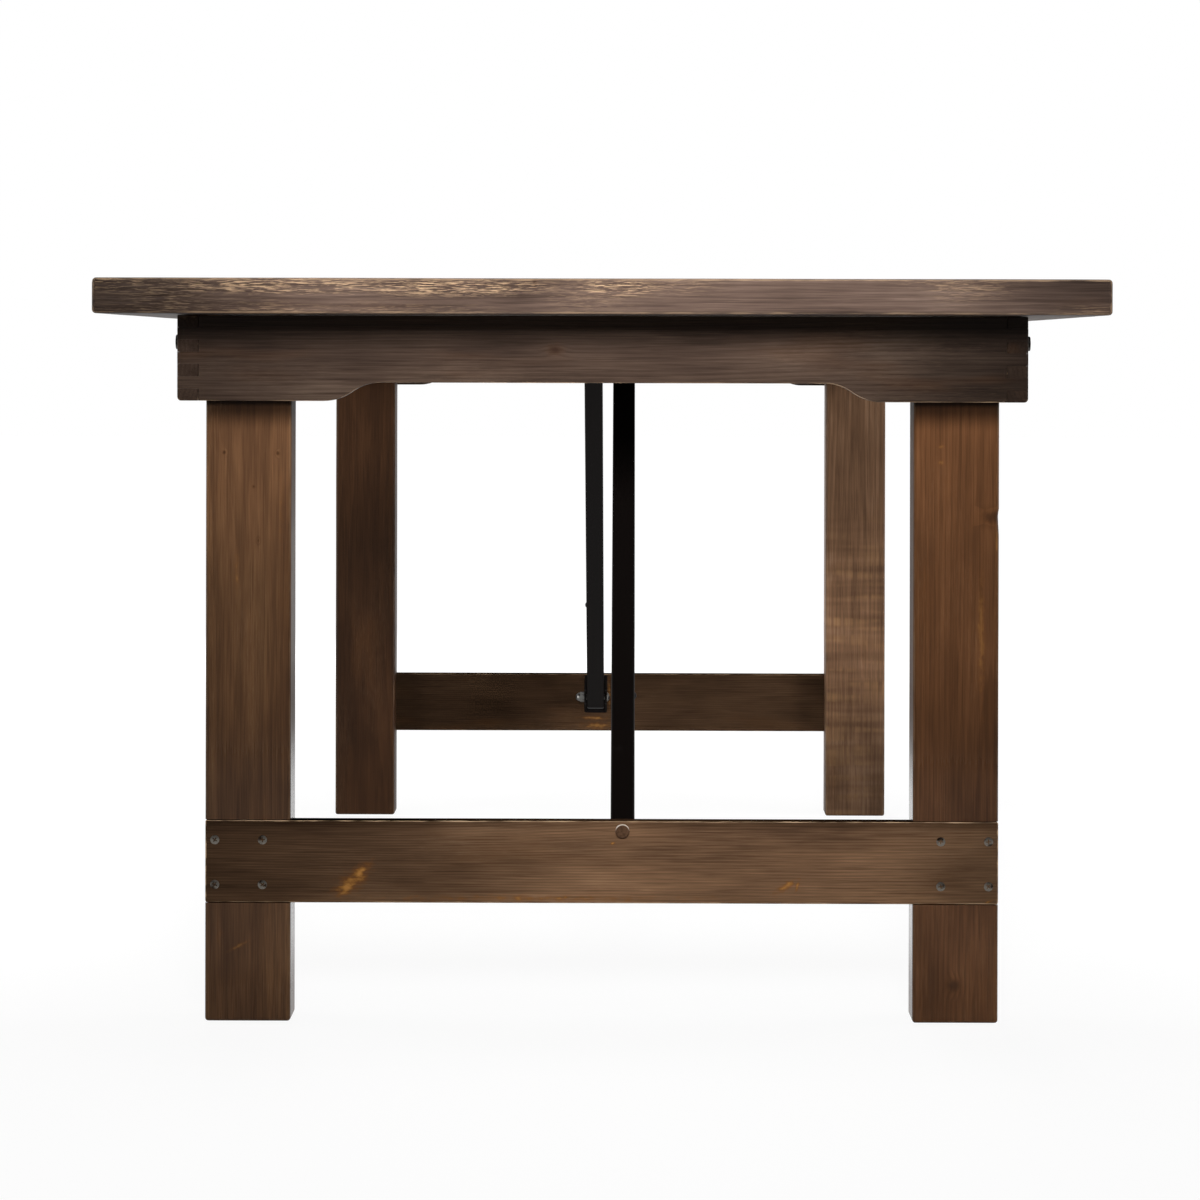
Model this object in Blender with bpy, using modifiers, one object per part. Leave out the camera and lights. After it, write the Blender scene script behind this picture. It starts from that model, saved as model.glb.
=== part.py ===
"""Folding farmhouse table: a plank top on an apron frame, two fold-in leg frames and two steel braces.

Metres, +Z up, origin on the floor under the middle of the top. The table's length runs along Y,
and its front end, the one that is seen end-on, is at -Y. The rear end is the front end turned half round.
"""

import math

import bmesh
import bpy
from mathutils import Matrix, Vector

# Top
TOP_LENGTH = 2.4384
TOP_WIDTH = 1.016
TOP_HEIGHT = 0.762
TOP_THICKNESS = 0.036
PLANK_COUNT = 6
BREADBOARD_WIDTH = 0.140
TONGUE_THICKNESS = 0.012
TONGUE_DEPTH = 0.025
TONGUE_STOP = 0.030
SEAM_TONGUE_DEPTH = 0.007
TOP_EDGE_ROUND = 0.004
SEAM_EASE = 0.0015

# Apron frame under the top
APRON_HEIGHT = 0.088
APRON_THICKNESS = 0.022
END_OVERHANG = 0.1255
SIDE_OVERHANG = 0.073
FINGER_COUNT = 7
ARCH_SHOULDER = 0.150
ARCH_OGEE_RUN = 0.058
ARCH_RISE = 0.019
APRON_EDGE_ROUND = 0.004
APRON_EASE = 0.0008
LEDGER_SECTION = 0.022
LEDGER_END_GAP = 0.012
CLEAT_WIDTH = 0.070
CLEAT_THICKNESS = 0.022
CLEAT_END_GAP = 0.016
CLEAT_FROM_PIVOT = 0.250
BATTEN_CENTRE_GAP = 0.062

# Leg frames
LEG_WIDTH = 0.088
LEG_DEPTH = 0.066
LEG_EDGE_ROUND = 0.003
PIVOT_DROP = 0.028
PIVOT_SETBACK = 0.042
STRETCHER_HEIGHT = 0.085
STRETCHER_THICKNESS = 0.025
STRETCHER_BOTTOM = 0.122
STRETCHER_EDGE_ROUND = 0.0025

# Leg pivots
PIVOT_BOLT_DIAMETER = 0.008
PIVOT_HEAD_ACROSS = 0.013
PIVOT_HEAD_HEIGHT = 0.0055
PIVOT_FLANGE_DIAMETER = 0.0165
PIVOT_FLANGE_THICKNESS = 0.0016
PIVOT_NUT_HEIGHT = 0.0065
PIVOT_COLLAR_HEIGHT = 0.0025
SPACER_DIAMETER = 0.030
SPACER_THICKNESS = 0.005

# Braces
BRACE_TUBE = 0.025
BRACE_WALL = 0.0016
BRACE_CORNER_RADIUS = 0.0025
BRACE_OFFSET = 0.0215
BRACE_RUN = 0.570
BRACE_PIVOT_HEIGHT = 0.1745
BRACE_PIVOT_STANDOFF = 0.025
BRACE_TAIL = 0.010
BRACE_NOSE = 0.009
BRACE_BOLT_DIAMETER = 0.008
PLUG_FLANGE = 0.0018
PLUG_DEPTH = 0.0035

# Bracket on the stretcher
BRACKET_PLATE = 0.003
BRACKET_SIDE_GAP = 0.0012
BRACKET_BELOW_PIVOT = 0.025
BRACKET_ABOVE_PIVOT = 0.031
BRACKET_EAR_RADIUS = 0.0105
BRACKET_BOLT_RISE = 0.022
CARRIAGE_BOLT_DIAMETER = 0.006
CARRIAGE_HEAD_DIAMETER = 0.0146
CARRIAGE_HEAD_HEIGHT = 0.0035
CARRIAGE_NUT_ACROSS = 0.010
CARRIAGE_NUT_HEIGHT = 0.005
CAP_NUT_ACROSS = 0.013
CAP_NUT_HEX_HEIGHT = 0.0065
BUTTON_HEAD_DIAMETER = 0.014
BUTTON_HEAD_HEIGHT = 0.0044

# Catch and clamp at the upper end of a brace
CATCH_DROP = 0.022
CATCH_PLATE = 0.0025
CATCH_FLANGE = 0.024
CATCH_LENGTH = 0.044
CATCH_EAR_BELOW = 0.0125
CATCH_EAR_REACH = 0.017
CLAMP_BOLT_DIAMETER = 0.008
WING_NUT_BASE_DIAMETER = 0.013
WING_NUT_TOP_DIAMETER = 0.0105
WING_NUT_HEIGHT = 0.0085
WING_RADIUS = 0.0155
WING_RISE = 0.005
WING_THICKNESS = 0.0028

# Keeper that holds a folded brace
KEEPER_PAST_MIDDLE = 0.060
KEEPER_LENGTH = 0.020
KEEPER_STRIP = 0.0015
KEEPER_FLANGE = 0.012
KEEPER_LIP = 0.004

# Clearances and facets
FIT_GAP = 0.0003
BOLT_CLEARANCE = 0.0004
TONGUE_CLEARANCE = 0.0004
UNION_OVERLAP = 0.001
CUTTER_REACH = 4
ROUND_SIDES = 16
HEX_SIDES = 6
BEVEL_STEPS = 2
CORNER_STEPS = 3
OGEE_STEPS = 8
DOME_STEPS = 6
ROUND_END_STEPS = 8
SHARP_ANGLE = math.radians(30)
FLAT_ANGLE = math.radians(1)
MERGE_DISTANCE = 0.00001

# Worked out from the sizes above
UNDERSIDE = TOP_HEIGHT - TOP_THICKNESS
FRAME_TOP = UNDERSIDE - FIT_GAP
APRON_BOTTOM = FRAME_TOP - APRON_HEIGHT
APRON_HALF_LENGTH = TOP_LENGTH / 2 - END_OVERHANG
APRON_HALF_WIDTH = TOP_WIDTH / 2 - SIDE_OVERHANG
APRON_INNER_HALF_WIDTH = APRON_HALF_WIDTH - APRON_THICKNESS
LEG_OUTER_X = APRON_INNER_HALF_WIDTH - SPACER_THICKNESS - 2 * FIT_GAP
LEG_INNER_X = LEG_OUTER_X - LEG_WIDTH
PIVOT_HEIGHT = UNDERSIDE - PIVOT_DROP
PIVOT_Y = APRON_HALF_LENGTH - APRON_THICKNESS - FIT_GAP - PIVOT_SETBACK
LEG_INNER_FACE = LEG_DEPTH - PIVOT_SETBACK
STRETCHER_INNER_FACE = STRETCHER_THICKNESS - PIVOT_SETBACK
STRETCHER_LENGTH = 2 * LEG_OUTER_X
BRACE_PIVOT = Vector((0, STRETCHER_INNER_FACE + BRACE_PIVOT_STANDOFF, BRACE_PIVOT_HEIGHT - PIVOT_HEIGHT))
BRACE_RISE = UNDERSIDE - CATCH_DROP - BRACE_PIVOT_HEIGHT
BRACE_ANGLE = math.atan2(BRACE_RISE, BRACE_RUN)
BRACE_LENGTH = math.hypot(BRACE_RISE, BRACE_RUN)
BRACE_FOLD_RATE = BRACE_ANGLE / (math.pi / 2)
EAR_HALF_GAP = BRACE_TUBE / 2 + BRACKET_SIDE_GAP
CATCH_PIN = Vector((BRACE_OFFSET, BRACE_PIVOT.y + BRACE_RUN, PIVOT_DROP - CATCH_DROP))

# Colour, roughness and metallic value of each finish
PINE = ((0.105, 0.052, 0.026), 0.6, 0.0)
PINE_DARK = ((0.070, 0.034, 0.018), 0.65, 0.0)
BLACK_STEEL = ((0.015, 0.014, 0.014), 0.45, 0.6)
ZINC_STEEL = ((0.55, 0.55, 0.53), 0.35, 1.0)
BLACK_PLASTIC = ((0.012, 0.012, 0.012), 0.5, 0.0)
WHITE_NYLON = ((0.62, 0.60, 0.55), 0.5, 0.0)

# Turns a flat outline, drawn as (across, up), into a piece that is extruded along the third direction
FACING_FRONT = Matrix(((1, 0, 0), (0, 0, -1), (0, 1, 0))).to_4x4()
FACING_SIDE = Matrix(((0, 0, 1), (1, 0, 0), (0, 1, 0))).to_4x4()
FACING_UP = Matrix.Identity(4)

# Turns a piece that is modelled standing on Z so that its top points another way
TOP_TO_RIGHT = (0, math.pi / 2, 0)
TOP_TO_LEFT = (0, -math.pi / 2, 0)
TOP_TO_OUTSIDE = (math.pi / 2, 0, 0)

ENDS = ("front", "rear")


def clear_scene():
    for obj in list(bpy.data.objects):
        bpy.data.objects.remove(obj, do_unlink=True)


def new_collection(name):
    collection = bpy.data.collections.new(name)
    bpy.context.scene.collection.children.link(collection)
    return collection


def finish(obj, look):
    """Gives an object its own material."""
    colour, roughness, metallic = look
    material = bpy.data.materials.new(obj.name + "_finish")
    material.use_nodes = True
    shader = material.node_tree.nodes["Principled BSDF"]
    shader.inputs["Base Color"].default_value = (*colour, 1)
    shader.inputs["Roughness"].default_value = roughness
    shader.inputs["Metallic"].default_value = metallic
    obj.data.materials.clear()
    obj.data.materials.append(material)


def place(name, mesh, look, parent, location=(0, 0, 0), rotation=(0, 0, 0)):
    """Makes an object of the mesh. Without a look it is a cutter or a piece to be joined on."""
    obj = bpy.data.objects.new(name, mesh)
    obj.parent = parent
    obj.location = location
    obj.rotation_euler = rotation
    if look is None:
        cutters.objects.link(obj)
        obj.hide_render = True
        obj.display_type = "WIRE"
    else:
        parts.objects.link(obj)
        finish(obj, look)
    return obj


def hinge_empty(name, location, turn=0.0, parent=None):
    empty = bpy.data.objects.new(name, None)
    parts.objects.link(empty)
    empty.parent = parent
    empty.location = location
    empty.rotation_euler = (0, 0, turn)
    return empty


def mesh_from(name, bm):
    mesh = bpy.data.meshes.new(name)
    bm.to_mesh(mesh)
    bm.free()
    return mesh


def box(name, size, centre, look=None, parent=None):
    bm = bmesh.new()
    bmesh.ops.create_cube(bm, size=1)
    bmesh.ops.scale(bm, vec=size, verts=bm.verts)
    return place(name, mesh_from(name, bm), look, parent, centre)


def rod(name, diameter, length, centre, rotation=(0, 0, 0), look=None, parent=None, sides=ROUND_SIDES):
    """A cylinder, or a hexagon whose diameter is its width across the flats."""
    radius = diameter / 2 / (math.cos(math.pi / sides) if sides == HEX_SIDES else 1)
    bm = bmesh.new()
    bmesh.ops.create_cone(bm, cap_ends=True, segments=sides, radius1=radius, radius2=radius, depth=length)
    obj = place(name, mesh_from(name, bm), look, parent, centre, rotation)
    obj.data.shade_smooth()
    obj.data.set_sharp_from_angle(angle=SHARP_ANGLE)
    return obj


def outline(name, loops, thickness, facing, centre, look=None, parent=None, rotation=(0, 0, 0)):
    """A flat outline with any holes, extruded to its thickness about its middle."""
    curve = bpy.data.curves.new(name, "CURVE")
    curve.dimensions = "2D"
    curve.fill_mode = "BOTH"
    curve.extrude = thickness / 2
    for points in loops:
        spline = curve.splines.new("POLY")
        spline.points.add(len(points) - 1)
        for spline_point, (across, up) in zip(spline.points, points):
            spline_point.co = (across, up, 0, 1)
        spline.use_cyclic_u = True
    drawn = bpy.data.objects.new(name + "_drawn", curve)
    cutters.objects.link(drawn)
    graph = bpy.context.evaluated_depsgraph_get()
    mesh = bpy.data.meshes.new_from_object(drawn.evaluated_get(graph))
    bpy.data.objects.remove(drawn, do_unlink=True)
    bm = bmesh.new()
    bm.from_mesh(mesh)
    bmesh.ops.remove_doubles(bm, verts=bm.verts, dist=MERGE_DISTANCE)
    if len(loops) == 1:
        bmesh.ops.dissolve_limit(bm, angle_limit=FLAT_ANGLE, verts=bm.verts, edges=bm.edges)
    bmesh.ops.transform(bm, matrix=facing, verts=bm.verts)
    bmesh.ops.recalc_face_normals(bm, faces=bm.faces)
    bm.to_mesh(mesh)
    bm.free()
    mesh.materials.clear()
    return place(name, mesh, look, parent, centre, rotation)


def turned(name, profile, centre, rotation=(0, 0, 0), look=None, parent=None):
    """A turned piece: (radius, height) points from the top of its axis down its outer side to the bottom."""
    mesh = bpy.data.meshes.new(name)
    mesh.from_pydata([(radius, 0, height) for radius, height in profile],
                     [(i, i + 1) for i in range(len(profile) - 1)], [])
    obj = place(name, mesh, look, parent, centre, rotation)
    screw = obj.modifiers.new("turn", "SCREW")
    screw.steps = ROUND_SIDES
    screw.render_steps = ROUND_SIDES
    screw.use_merge_vertices = True
    screw.merge_threshold = MERGE_DISTANCE
    screw.use_smooth_shade = False
    return obj


def arc(centre, radius, start, end, steps):
    """Points of an arc from one angle to another, both ends included."""
    angles = [start + (end - start) * i / steps for i in range(steps + 1)]
    return [(centre[0] + radius * math.cos(a), centre[1] + radius * math.sin(a)) for a in angles]


def rounded_square(side, radius):
    points = []
    for quarter, (across, up) in enumerate(((1, 1), (-1, 1), (-1, -1), (1, -1))):
        centre = (across * (side / 2 - radius), up * (side / 2 - radius))
        start = quarter * math.pi / 2
        points += arc(centre, radius, start, start + math.pi / 2, CORNER_STEPS)
    return points


def dome(diameter, height):
    """Profile of a domed bolt head, from its crown to its rim at height 0."""
    radius = diameter / 2
    sphere = (radius**2 + height**2) / (2 * height)
    spread = math.asin(radius / sphere)
    points = arc((0, height - sphere), sphere, math.pi / 2, math.pi / 2 - spread, DOME_STEPS)
    return [(0, height)] + points[1:]


def boolean(obj, tool, operation):
    modifier = obj.modifiers.new(tool.name, "BOOLEAN")
    modifier.operation = operation
    modifier.object = tool
    modifier.solver = "EXACT"


def cut(obj, tool):
    boolean(obj, tool, "DIFFERENCE")


def join(obj, tool):
    boolean(obj, tool, "UNION")


def ease(obj, radius_at):
    """Rounds the sharp outer edges, each to the radius that radius_at gives for its middle."""
    mesh = obj.data
    bm = bmesh.new()
    bm.from_mesh(mesh)
    bm.edges.ensure_lookup_table()
    sharp = [e.is_convex and e.calc_face_angle() > SHARP_ANGLE for e in bm.edges]
    middles = [(e.verts[0].co + e.verts[1].co) / 2 for e in bm.edges]
    bm.free()
    radii = [radius_at(middle) if is_sharp else 0 for is_sharp, middle in zip(sharp, middles)]
    largest = max(radii)
    weights = mesh.attributes.new("bevel_weight_edge", "FLOAT", "EDGE")
    for item, radius in zip(weights.data, radii):
        item.value = radius / largest
    bevel = obj.modifiers.new("eased edges", "BEVEL")
    bevel.limit_method = "WEIGHT"
    bevel.width = largest
    bevel.segments = BEVEL_STEPS
    bevel.use_clamp_overlap = True


def plank_edges(index):
    """Left and right sides of a plank, without the gaps."""
    width = TOP_WIDTH / PLANK_COUNT
    left = -TOP_WIDTH / 2 + index * width
    return left, left + width


def make_plank(index):
    """A lengthwise plank with a tongue on its right side, a groove on its left and a tongue at each end."""
    name = f"top_plank_{index + 1}"
    left, right = plank_edges(index)
    first = index == 0
    last = index == PLANK_COUNT - 1
    body_left = left + (0 if first else FIT_GAP / 2)
    body_right = right - (0 if last else FIT_GAP / 2)
    length = TOP_LENGTH - 2 * (BREADBOARD_WIDTH + FIT_GAP)
    middle = UNDERSIDE + TOP_THICKNESS / 2
    size = (body_right - body_left, length, TOP_THICKNESS)
    plank = box(name, size, ((body_left + body_right) / 2, 0, middle), PINE)

    def radius_at(point):
        outer = (first and point.x < -size[0] / 4) or (last and point.x > size[0] / 4)
        along = abs(point.y) < length / 4
        return TOP_EDGE_ROUND if outer and along else SEAM_EASE

    ease(plank, radius_at)
    tongue_left = max(left + UNION_OVERLAP, -TOP_WIDTH / 2 + TONGUE_STOP + TONGUE_CLEARANCE)
    tongue_right = min(right - UNION_OVERLAP, TOP_WIDTH / 2 - TONGUE_STOP - TONGUE_CLEARANCE)
    tongue_length = length + 2 * (TONGUE_DEPTH - TONGUE_CLEARANCE)
    tongue_size = (tongue_right - tongue_left, tongue_length, TONGUE_THICKNESS)
    tongue_centre = ((tongue_left + tongue_right) / 2, 0, middle)
    join(plank, box(name + "_end_tongues", tongue_size, tongue_centre))
    if not first:
        groove_depth = SEAM_TONGUE_DEPTH + TONGUE_CLEARANCE
        groove_length = length + CUTTER_REACH * TONGUE_DEPTH
        groove_size = (2 * groove_depth, groove_length, TONGUE_THICKNESS + 2 * TONGUE_CLEARANCE)
        cut(plank, box(name + "_groove", groove_size, (body_left, 0, middle)))
    if not last:
        seam_size = (2 * SEAM_TONGUE_DEPTH, length - 2 * TOP_EDGE_ROUND, TONGUE_THICKNESS)
        join(plank, box(name + "_seam_tongue", seam_size, (body_right, 0, middle)))


def make_breadboard(end, toward):
    """The cross board at an end of the top, with a stopped groove for the planks' tongues."""
    name = f"{end}_breadboard"
    middle = UNDERSIDE + TOP_THICKNESS / 2
    centre_y = toward * (TOP_LENGTH / 2 - BREADBOARD_WIDTH / 2)
    board = box(name, (TOP_WIDTH, BREADBOARD_WIDTH, TOP_THICKNESS), (0, centre_y, middle), PINE)

    def radius_at(point):
        seam = point.y * toward < -BREADBOARD_WIDTH / 4
        return SEAM_EASE if seam else TOP_EDGE_ROUND

    ease(board, radius_at)
    seam_y = toward * (TOP_LENGTH / 2 - BREADBOARD_WIDTH)
    groove = (TOP_WIDTH - 2 * TONGUE_STOP, 2 * TONGUE_DEPTH, TONGUE_THICKNESS + 2 * TONGUE_CLEARANCE)
    cut(board, box(name + "_groove", groove, (0, seam_y, middle)))


def cut_finger_sockets(board, ends, first, section):
    """Cuts the sockets of a finger joint, every second one from the given one, into both ends of a board."""
    step = APRON_HEIGHT / FINGER_COUNT
    for end_index, (x, y) in enumerate(ends):
        for i in range(first, FINGER_COUNT, 2):
            upper = APRON_BOTTOM + APRON_HEIGHT - i * step + (FIT_GAP / 2 if i > 0 else APRON_HEIGHT)
            lower = APRON_BOTTOM + APRON_HEIGHT - (i + 1) * step
            lower -= FIT_GAP / 2 if i < FINGER_COUNT - 1 else APRON_HEIGHT
            name = f"{board.name}_socket_{end_index}_{i}"
            cut(board, box(name, (*section, upper - lower), (x, y, (upper + lower) / 2)))


def arch_profile():
    """Points along the lower edge of an end apron, right to left: shoulder, ogee, arch, ogee, shoulder."""
    turn = 2 * math.atan2(ARCH_RISE, ARCH_OGEE_RUN)
    radius = ARCH_OGEE_RUN / 2 / math.sin(turn)
    start = APRON_HALF_WIDTH - ARCH_SHOULDER
    lower = arc((start, radius), radius, -math.pi / 2, -math.pi / 2 - turn, OGEE_STEPS)
    upper_centre = (start - ARCH_OGEE_RUN, ARCH_RISE - radius)
    upper = arc(upper_centre, radius, math.pi / 2 - turn, math.pi / 2, OGEE_STEPS)
    right = lower + upper[1:]
    return right + [(-across, up) for across, up in reversed(right)]


def make_end_apron(end, toward):
    name = f"{end}_end_apron"
    half = APRON_HALF_WIDTH
    corners = [(-half, 0), (-half, APRON_HEIGHT), (half, APRON_HEIGHT), (half, 0)]
    centre_y = toward * (APRON_HALF_LENGTH - APRON_THICKNESS / 2)
    points = corners + arch_profile()
    apron = outline(name, [points], APRON_THICKNESS, FACING_FRONT, (0, centre_y, APRON_BOTTOM), PINE)
    ease(apron, lambda point: APRON_EASE)
    socket = (2 * (APRON_THICKNESS + FIT_GAP), 2 * APRON_THICKNESS)
    cut_finger_sockets(apron, [(APRON_HALF_WIDTH, centre_y), (-APRON_HALF_WIDTH, centre_y)], 0, socket)


def make_side_apron(side, across):
    name = f"{side}_side_apron"
    centre_x = across * (APRON_HALF_WIDTH - APRON_THICKNESS / 2)
    size = (APRON_THICKNESS, 2 * APRON_HALF_LENGTH, APRON_HEIGHT)
    apron = box(name, size, (centre_x, 0, APRON_BOTTOM + APRON_HEIGHT / 2), PINE)

    def radius_at(point):
        lower_outer = point.z < -APRON_HEIGHT / 4 and point.x * across > APRON_THICKNESS / 4
        return APRON_EDGE_ROUND if lower_outer else APRON_EASE

    ease(apron, radius_at)
    socket = (2 * APRON_THICKNESS, 2 * (APRON_THICKNESS + FIT_GAP))
    cut_finger_sockets(apron, [(centre_x, APRON_HALF_LENGTH), (centre_x, -APRON_HALF_LENGTH)], 1, socket)
    for end, empty in end_empties.items():
        hole_x = centre_x if end == "front" else -centre_x
        diameter = PIVOT_BOLT_DIAMETER + 2 * BOLT_CLEARANCE
        length = CUTTER_REACH * APRON_THICKNESS
        cut(apron, rod(f"{name}_{end}_hole", diameter, length, (hole_x, 0, 0), TOP_TO_RIGHT, parent=empty))


def make_ledger(end, toward):
    """The strip behind an end apron, between the legs, that its fixings to the top go through."""
    length = 2 * (LEG_INNER_X - LEDGER_END_GAP)
    centre_y = toward * (APRON_HALF_LENGTH - APRON_THICKNESS - FIT_GAP - LEDGER_SECTION / 2)
    centre = (0, centre_y, FRAME_TOP - LEDGER_SECTION / 2)
    ledger = box(f"{end}_ledger", (length, LEDGER_SECTION, LEDGER_SECTION), centre, PINE_DARK)
    ease(ledger, lambda point: SEAM_EASE)


def make_cleat(end, toward):
    """A cross cleat that keeps the planks flat, short enough to lie between the folded legs."""
    length = 2 * (LEG_INNER_X - CLEAT_END_GAP)
    centre = (0, toward * (PIVOT_Y - CLEAT_FROM_PIVOT), FRAME_TOP - CLEAT_THICKNESS / 2)
    cleat = box(f"{end}_cleat", (length, CLEAT_WIDTH, CLEAT_THICKNESS), centre, PINE_DARK)
    ease(cleat, lambda point: SEAM_EASE)


def make_middle_batten(side, across):
    """Half of the middle batten, which stops short of the folded braces."""
    outer = APRON_INNER_HALF_WIDTH - FIT_GAP
    length = outer - BATTEN_CENTRE_GAP
    centre = (across * (outer + BATTEN_CENTRE_GAP) / 2, 0, FRAME_TOP - CLEAT_THICKNESS / 2)
    batten = box(f"{side}_middle_batten", (length, CLEAT_WIDTH, CLEAT_THICKNESS), centre, PINE_DARK)
    ease(batten, lambda point: SEAM_EASE)


def leg_profile():
    """A leg seen from the side, about its pivot: round at the top so that it can turn under the top."""
    inner = LEG_INNER_FACE
    flat_end = math.atan2(inner, -math.sqrt(PIVOT_SETBACK**2 - inner**2))
    points = [(-PIVOT_SETBACK, -PIVOT_HEIGHT), (inner, -PIVOT_HEIGHT)]
    points += arc((0, 0), inner, 0, math.pi / 2, ROUND_END_STEPS)
    points += arc((0, 0), PIVOT_SETBACK, flat_end, math.pi, CORNER_STEPS)
    return points


def make_leg(name, empty, across):
    centre_x = across * (LEG_OUTER_X - LEG_WIDTH / 2)
    leg = outline(name, [leg_profile()], LEG_WIDTH, FACING_SIDE, (centre_x, 0, 0), PINE, empty)
    ease(leg, lambda point: LEG_EDGE_ROUND)
    notch_size = (2 * LEG_WIDTH, 2 * (STRETCHER_THICKNESS + FIT_GAP), STRETCHER_HEIGHT + 2 * FIT_GAP)
    cut(leg, box(name + "_notch", notch_size, (centre_x, -PIVOT_SETBACK, stretcher_middle()), parent=empty))
    bore = PIVOT_BOLT_DIAMETER + 2 * BOLT_CLEARANCE
    bore_length = CUTTER_REACH * LEG_WIDTH
    cut(leg, rod(name + "_bore", bore, bore_length, (centre_x, 0, 0), TOP_TO_RIGHT, parent=empty))


def stretcher_middle():
    return STRETCHER_BOTTOM + STRETCHER_HEIGHT / 2 - PIVOT_HEIGHT


def carriage_bolt_height():
    return BRACE_PIVOT.z + BRACKET_BOLT_RISE


def make_stretcher(end, empty):
    name = f"{end}_stretcher"
    size = (STRETCHER_LENGTH, STRETCHER_THICKNESS, STRETCHER_HEIGHT)
    centre = (0, STRETCHER_INNER_FACE - STRETCHER_THICKNESS / 2, stretcher_middle())
    stretcher = box(name, size, centre, PINE, empty)
    ease(stretcher, lambda point: STRETCHER_EDGE_ROUND)
    hole_at = (BRACE_OFFSET, centre[1], carriage_bolt_height())
    hole = CARRIAGE_BOLT_DIAMETER + 2 * BOLT_CLEARANCE
    hole_length = CUTTER_REACH * STRETCHER_THICKNESS
    cut(stretcher, rod(name + "_hole", hole, hole_length, hole_at, TOP_TO_OUTSIDE, parent=empty))


def hex_nut(name, across, height, bore, centre, rotation, look, parent):
    nut = rod(name, across, height, centre, rotation, look, parent, sides=HEX_SIDES)
    diameter = bore + 2 * BOLT_CLEARANCE
    cut(nut, rod(name + "_bore", diameter, CUTTER_REACH * height, centre, rotation, parent=parent))


def make_leg_pivot(end, side, empty, across):
    """The bolt that a leg turns on, its spacer against the side apron and its lock nut inside the leg."""
    outward = TOP_TO_RIGHT if across > 0 else TOP_TO_LEFT
    name = f"{end}_{side}_pivot_bolt"
    head_x = APRON_HALF_WIDTH + FIT_GAP
    tip_x = LEG_INNER_X - FIT_GAP - PIVOT_NUT_HEIGHT - PIVOT_COLLAR_HEIGHT - UNION_OVERLAP
    shank_end = head_x + PIVOT_FLANGE_THICKNESS / 2
    shank_x = across * (shank_end + tip_x) / 2
    bolt = rod(name, PIVOT_BOLT_DIAMETER, shank_end - tip_x, (shank_x, 0, 0), outward, ZINC_STEEL, empty)
    flange_x = across * (head_x + PIVOT_FLANGE_THICKNESS / 2)
    join(bolt, rod(name + "_flange", PIVOT_FLANGE_DIAMETER, PIVOT_FLANGE_THICKNESS, (flange_x, 0, 0), outward,
                   parent=empty))
    hex_height = PIVOT_FLANGE_THICKNESS / 2 + PIVOT_HEAD_HEIGHT
    hex_x = across * (head_x + PIVOT_FLANGE_THICKNESS / 2 + hex_height / 2)
    join(bolt, rod(name + "_hex", PIVOT_HEAD_ACROSS, hex_height, (hex_x, 0, 0), outward, parent=empty,
                   sides=HEX_SIDES))

    spacer_name = f"{end}_{side}_pivot_spacer"
    spacer_at = (across * (APRON_INNER_HALF_WIDTH - FIT_GAP - SPACER_THICKNESS / 2), 0, 0)
    spacer = rod(spacer_name, SPACER_DIAMETER, SPACER_THICKNESS, spacer_at, outward, WHITE_NYLON, empty)
    bore = PIVOT_BOLT_DIAMETER + 2 * BOLT_CLEARANCE
    spacer_bore = CUTTER_REACH * SPACER_THICKNESS
    cut(spacer, rod(spacer_name + "_bore", bore, spacer_bore, spacer_at, outward, parent=empty))

    nut_name = f"{end}_{side}_pivot_nut"
    nut_x = across * (LEG_INNER_X - FIT_GAP - PIVOT_NUT_HEIGHT / 2)
    nut = rod(nut_name, PIVOT_HEAD_ACROSS, PIVOT_NUT_HEIGHT, (nut_x, 0, 0), outward, ZINC_STEEL, empty,
              sides=HEX_SIDES)
    collar_length = 2 * PIVOT_COLLAR_HEIGHT
    collar_at = (across * (LEG_INNER_X - FIT_GAP - PIVOT_NUT_HEIGHT), 0, 0)
    collar_diameter = PIVOT_HEAD_ACROSS - 2 * UNION_OVERLAP
    join(nut, rod(nut_name + "_collar", collar_diameter, collar_length, collar_at, outward, parent=empty))
    nut_bore = CUTTER_REACH * (PIVOT_NUT_HEIGHT + PIVOT_COLLAR_HEIGHT)
    cut(nut, rod(nut_name + "_bore", bore, nut_bore, (nut_x, 0, 0), outward, parent=empty))


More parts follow.
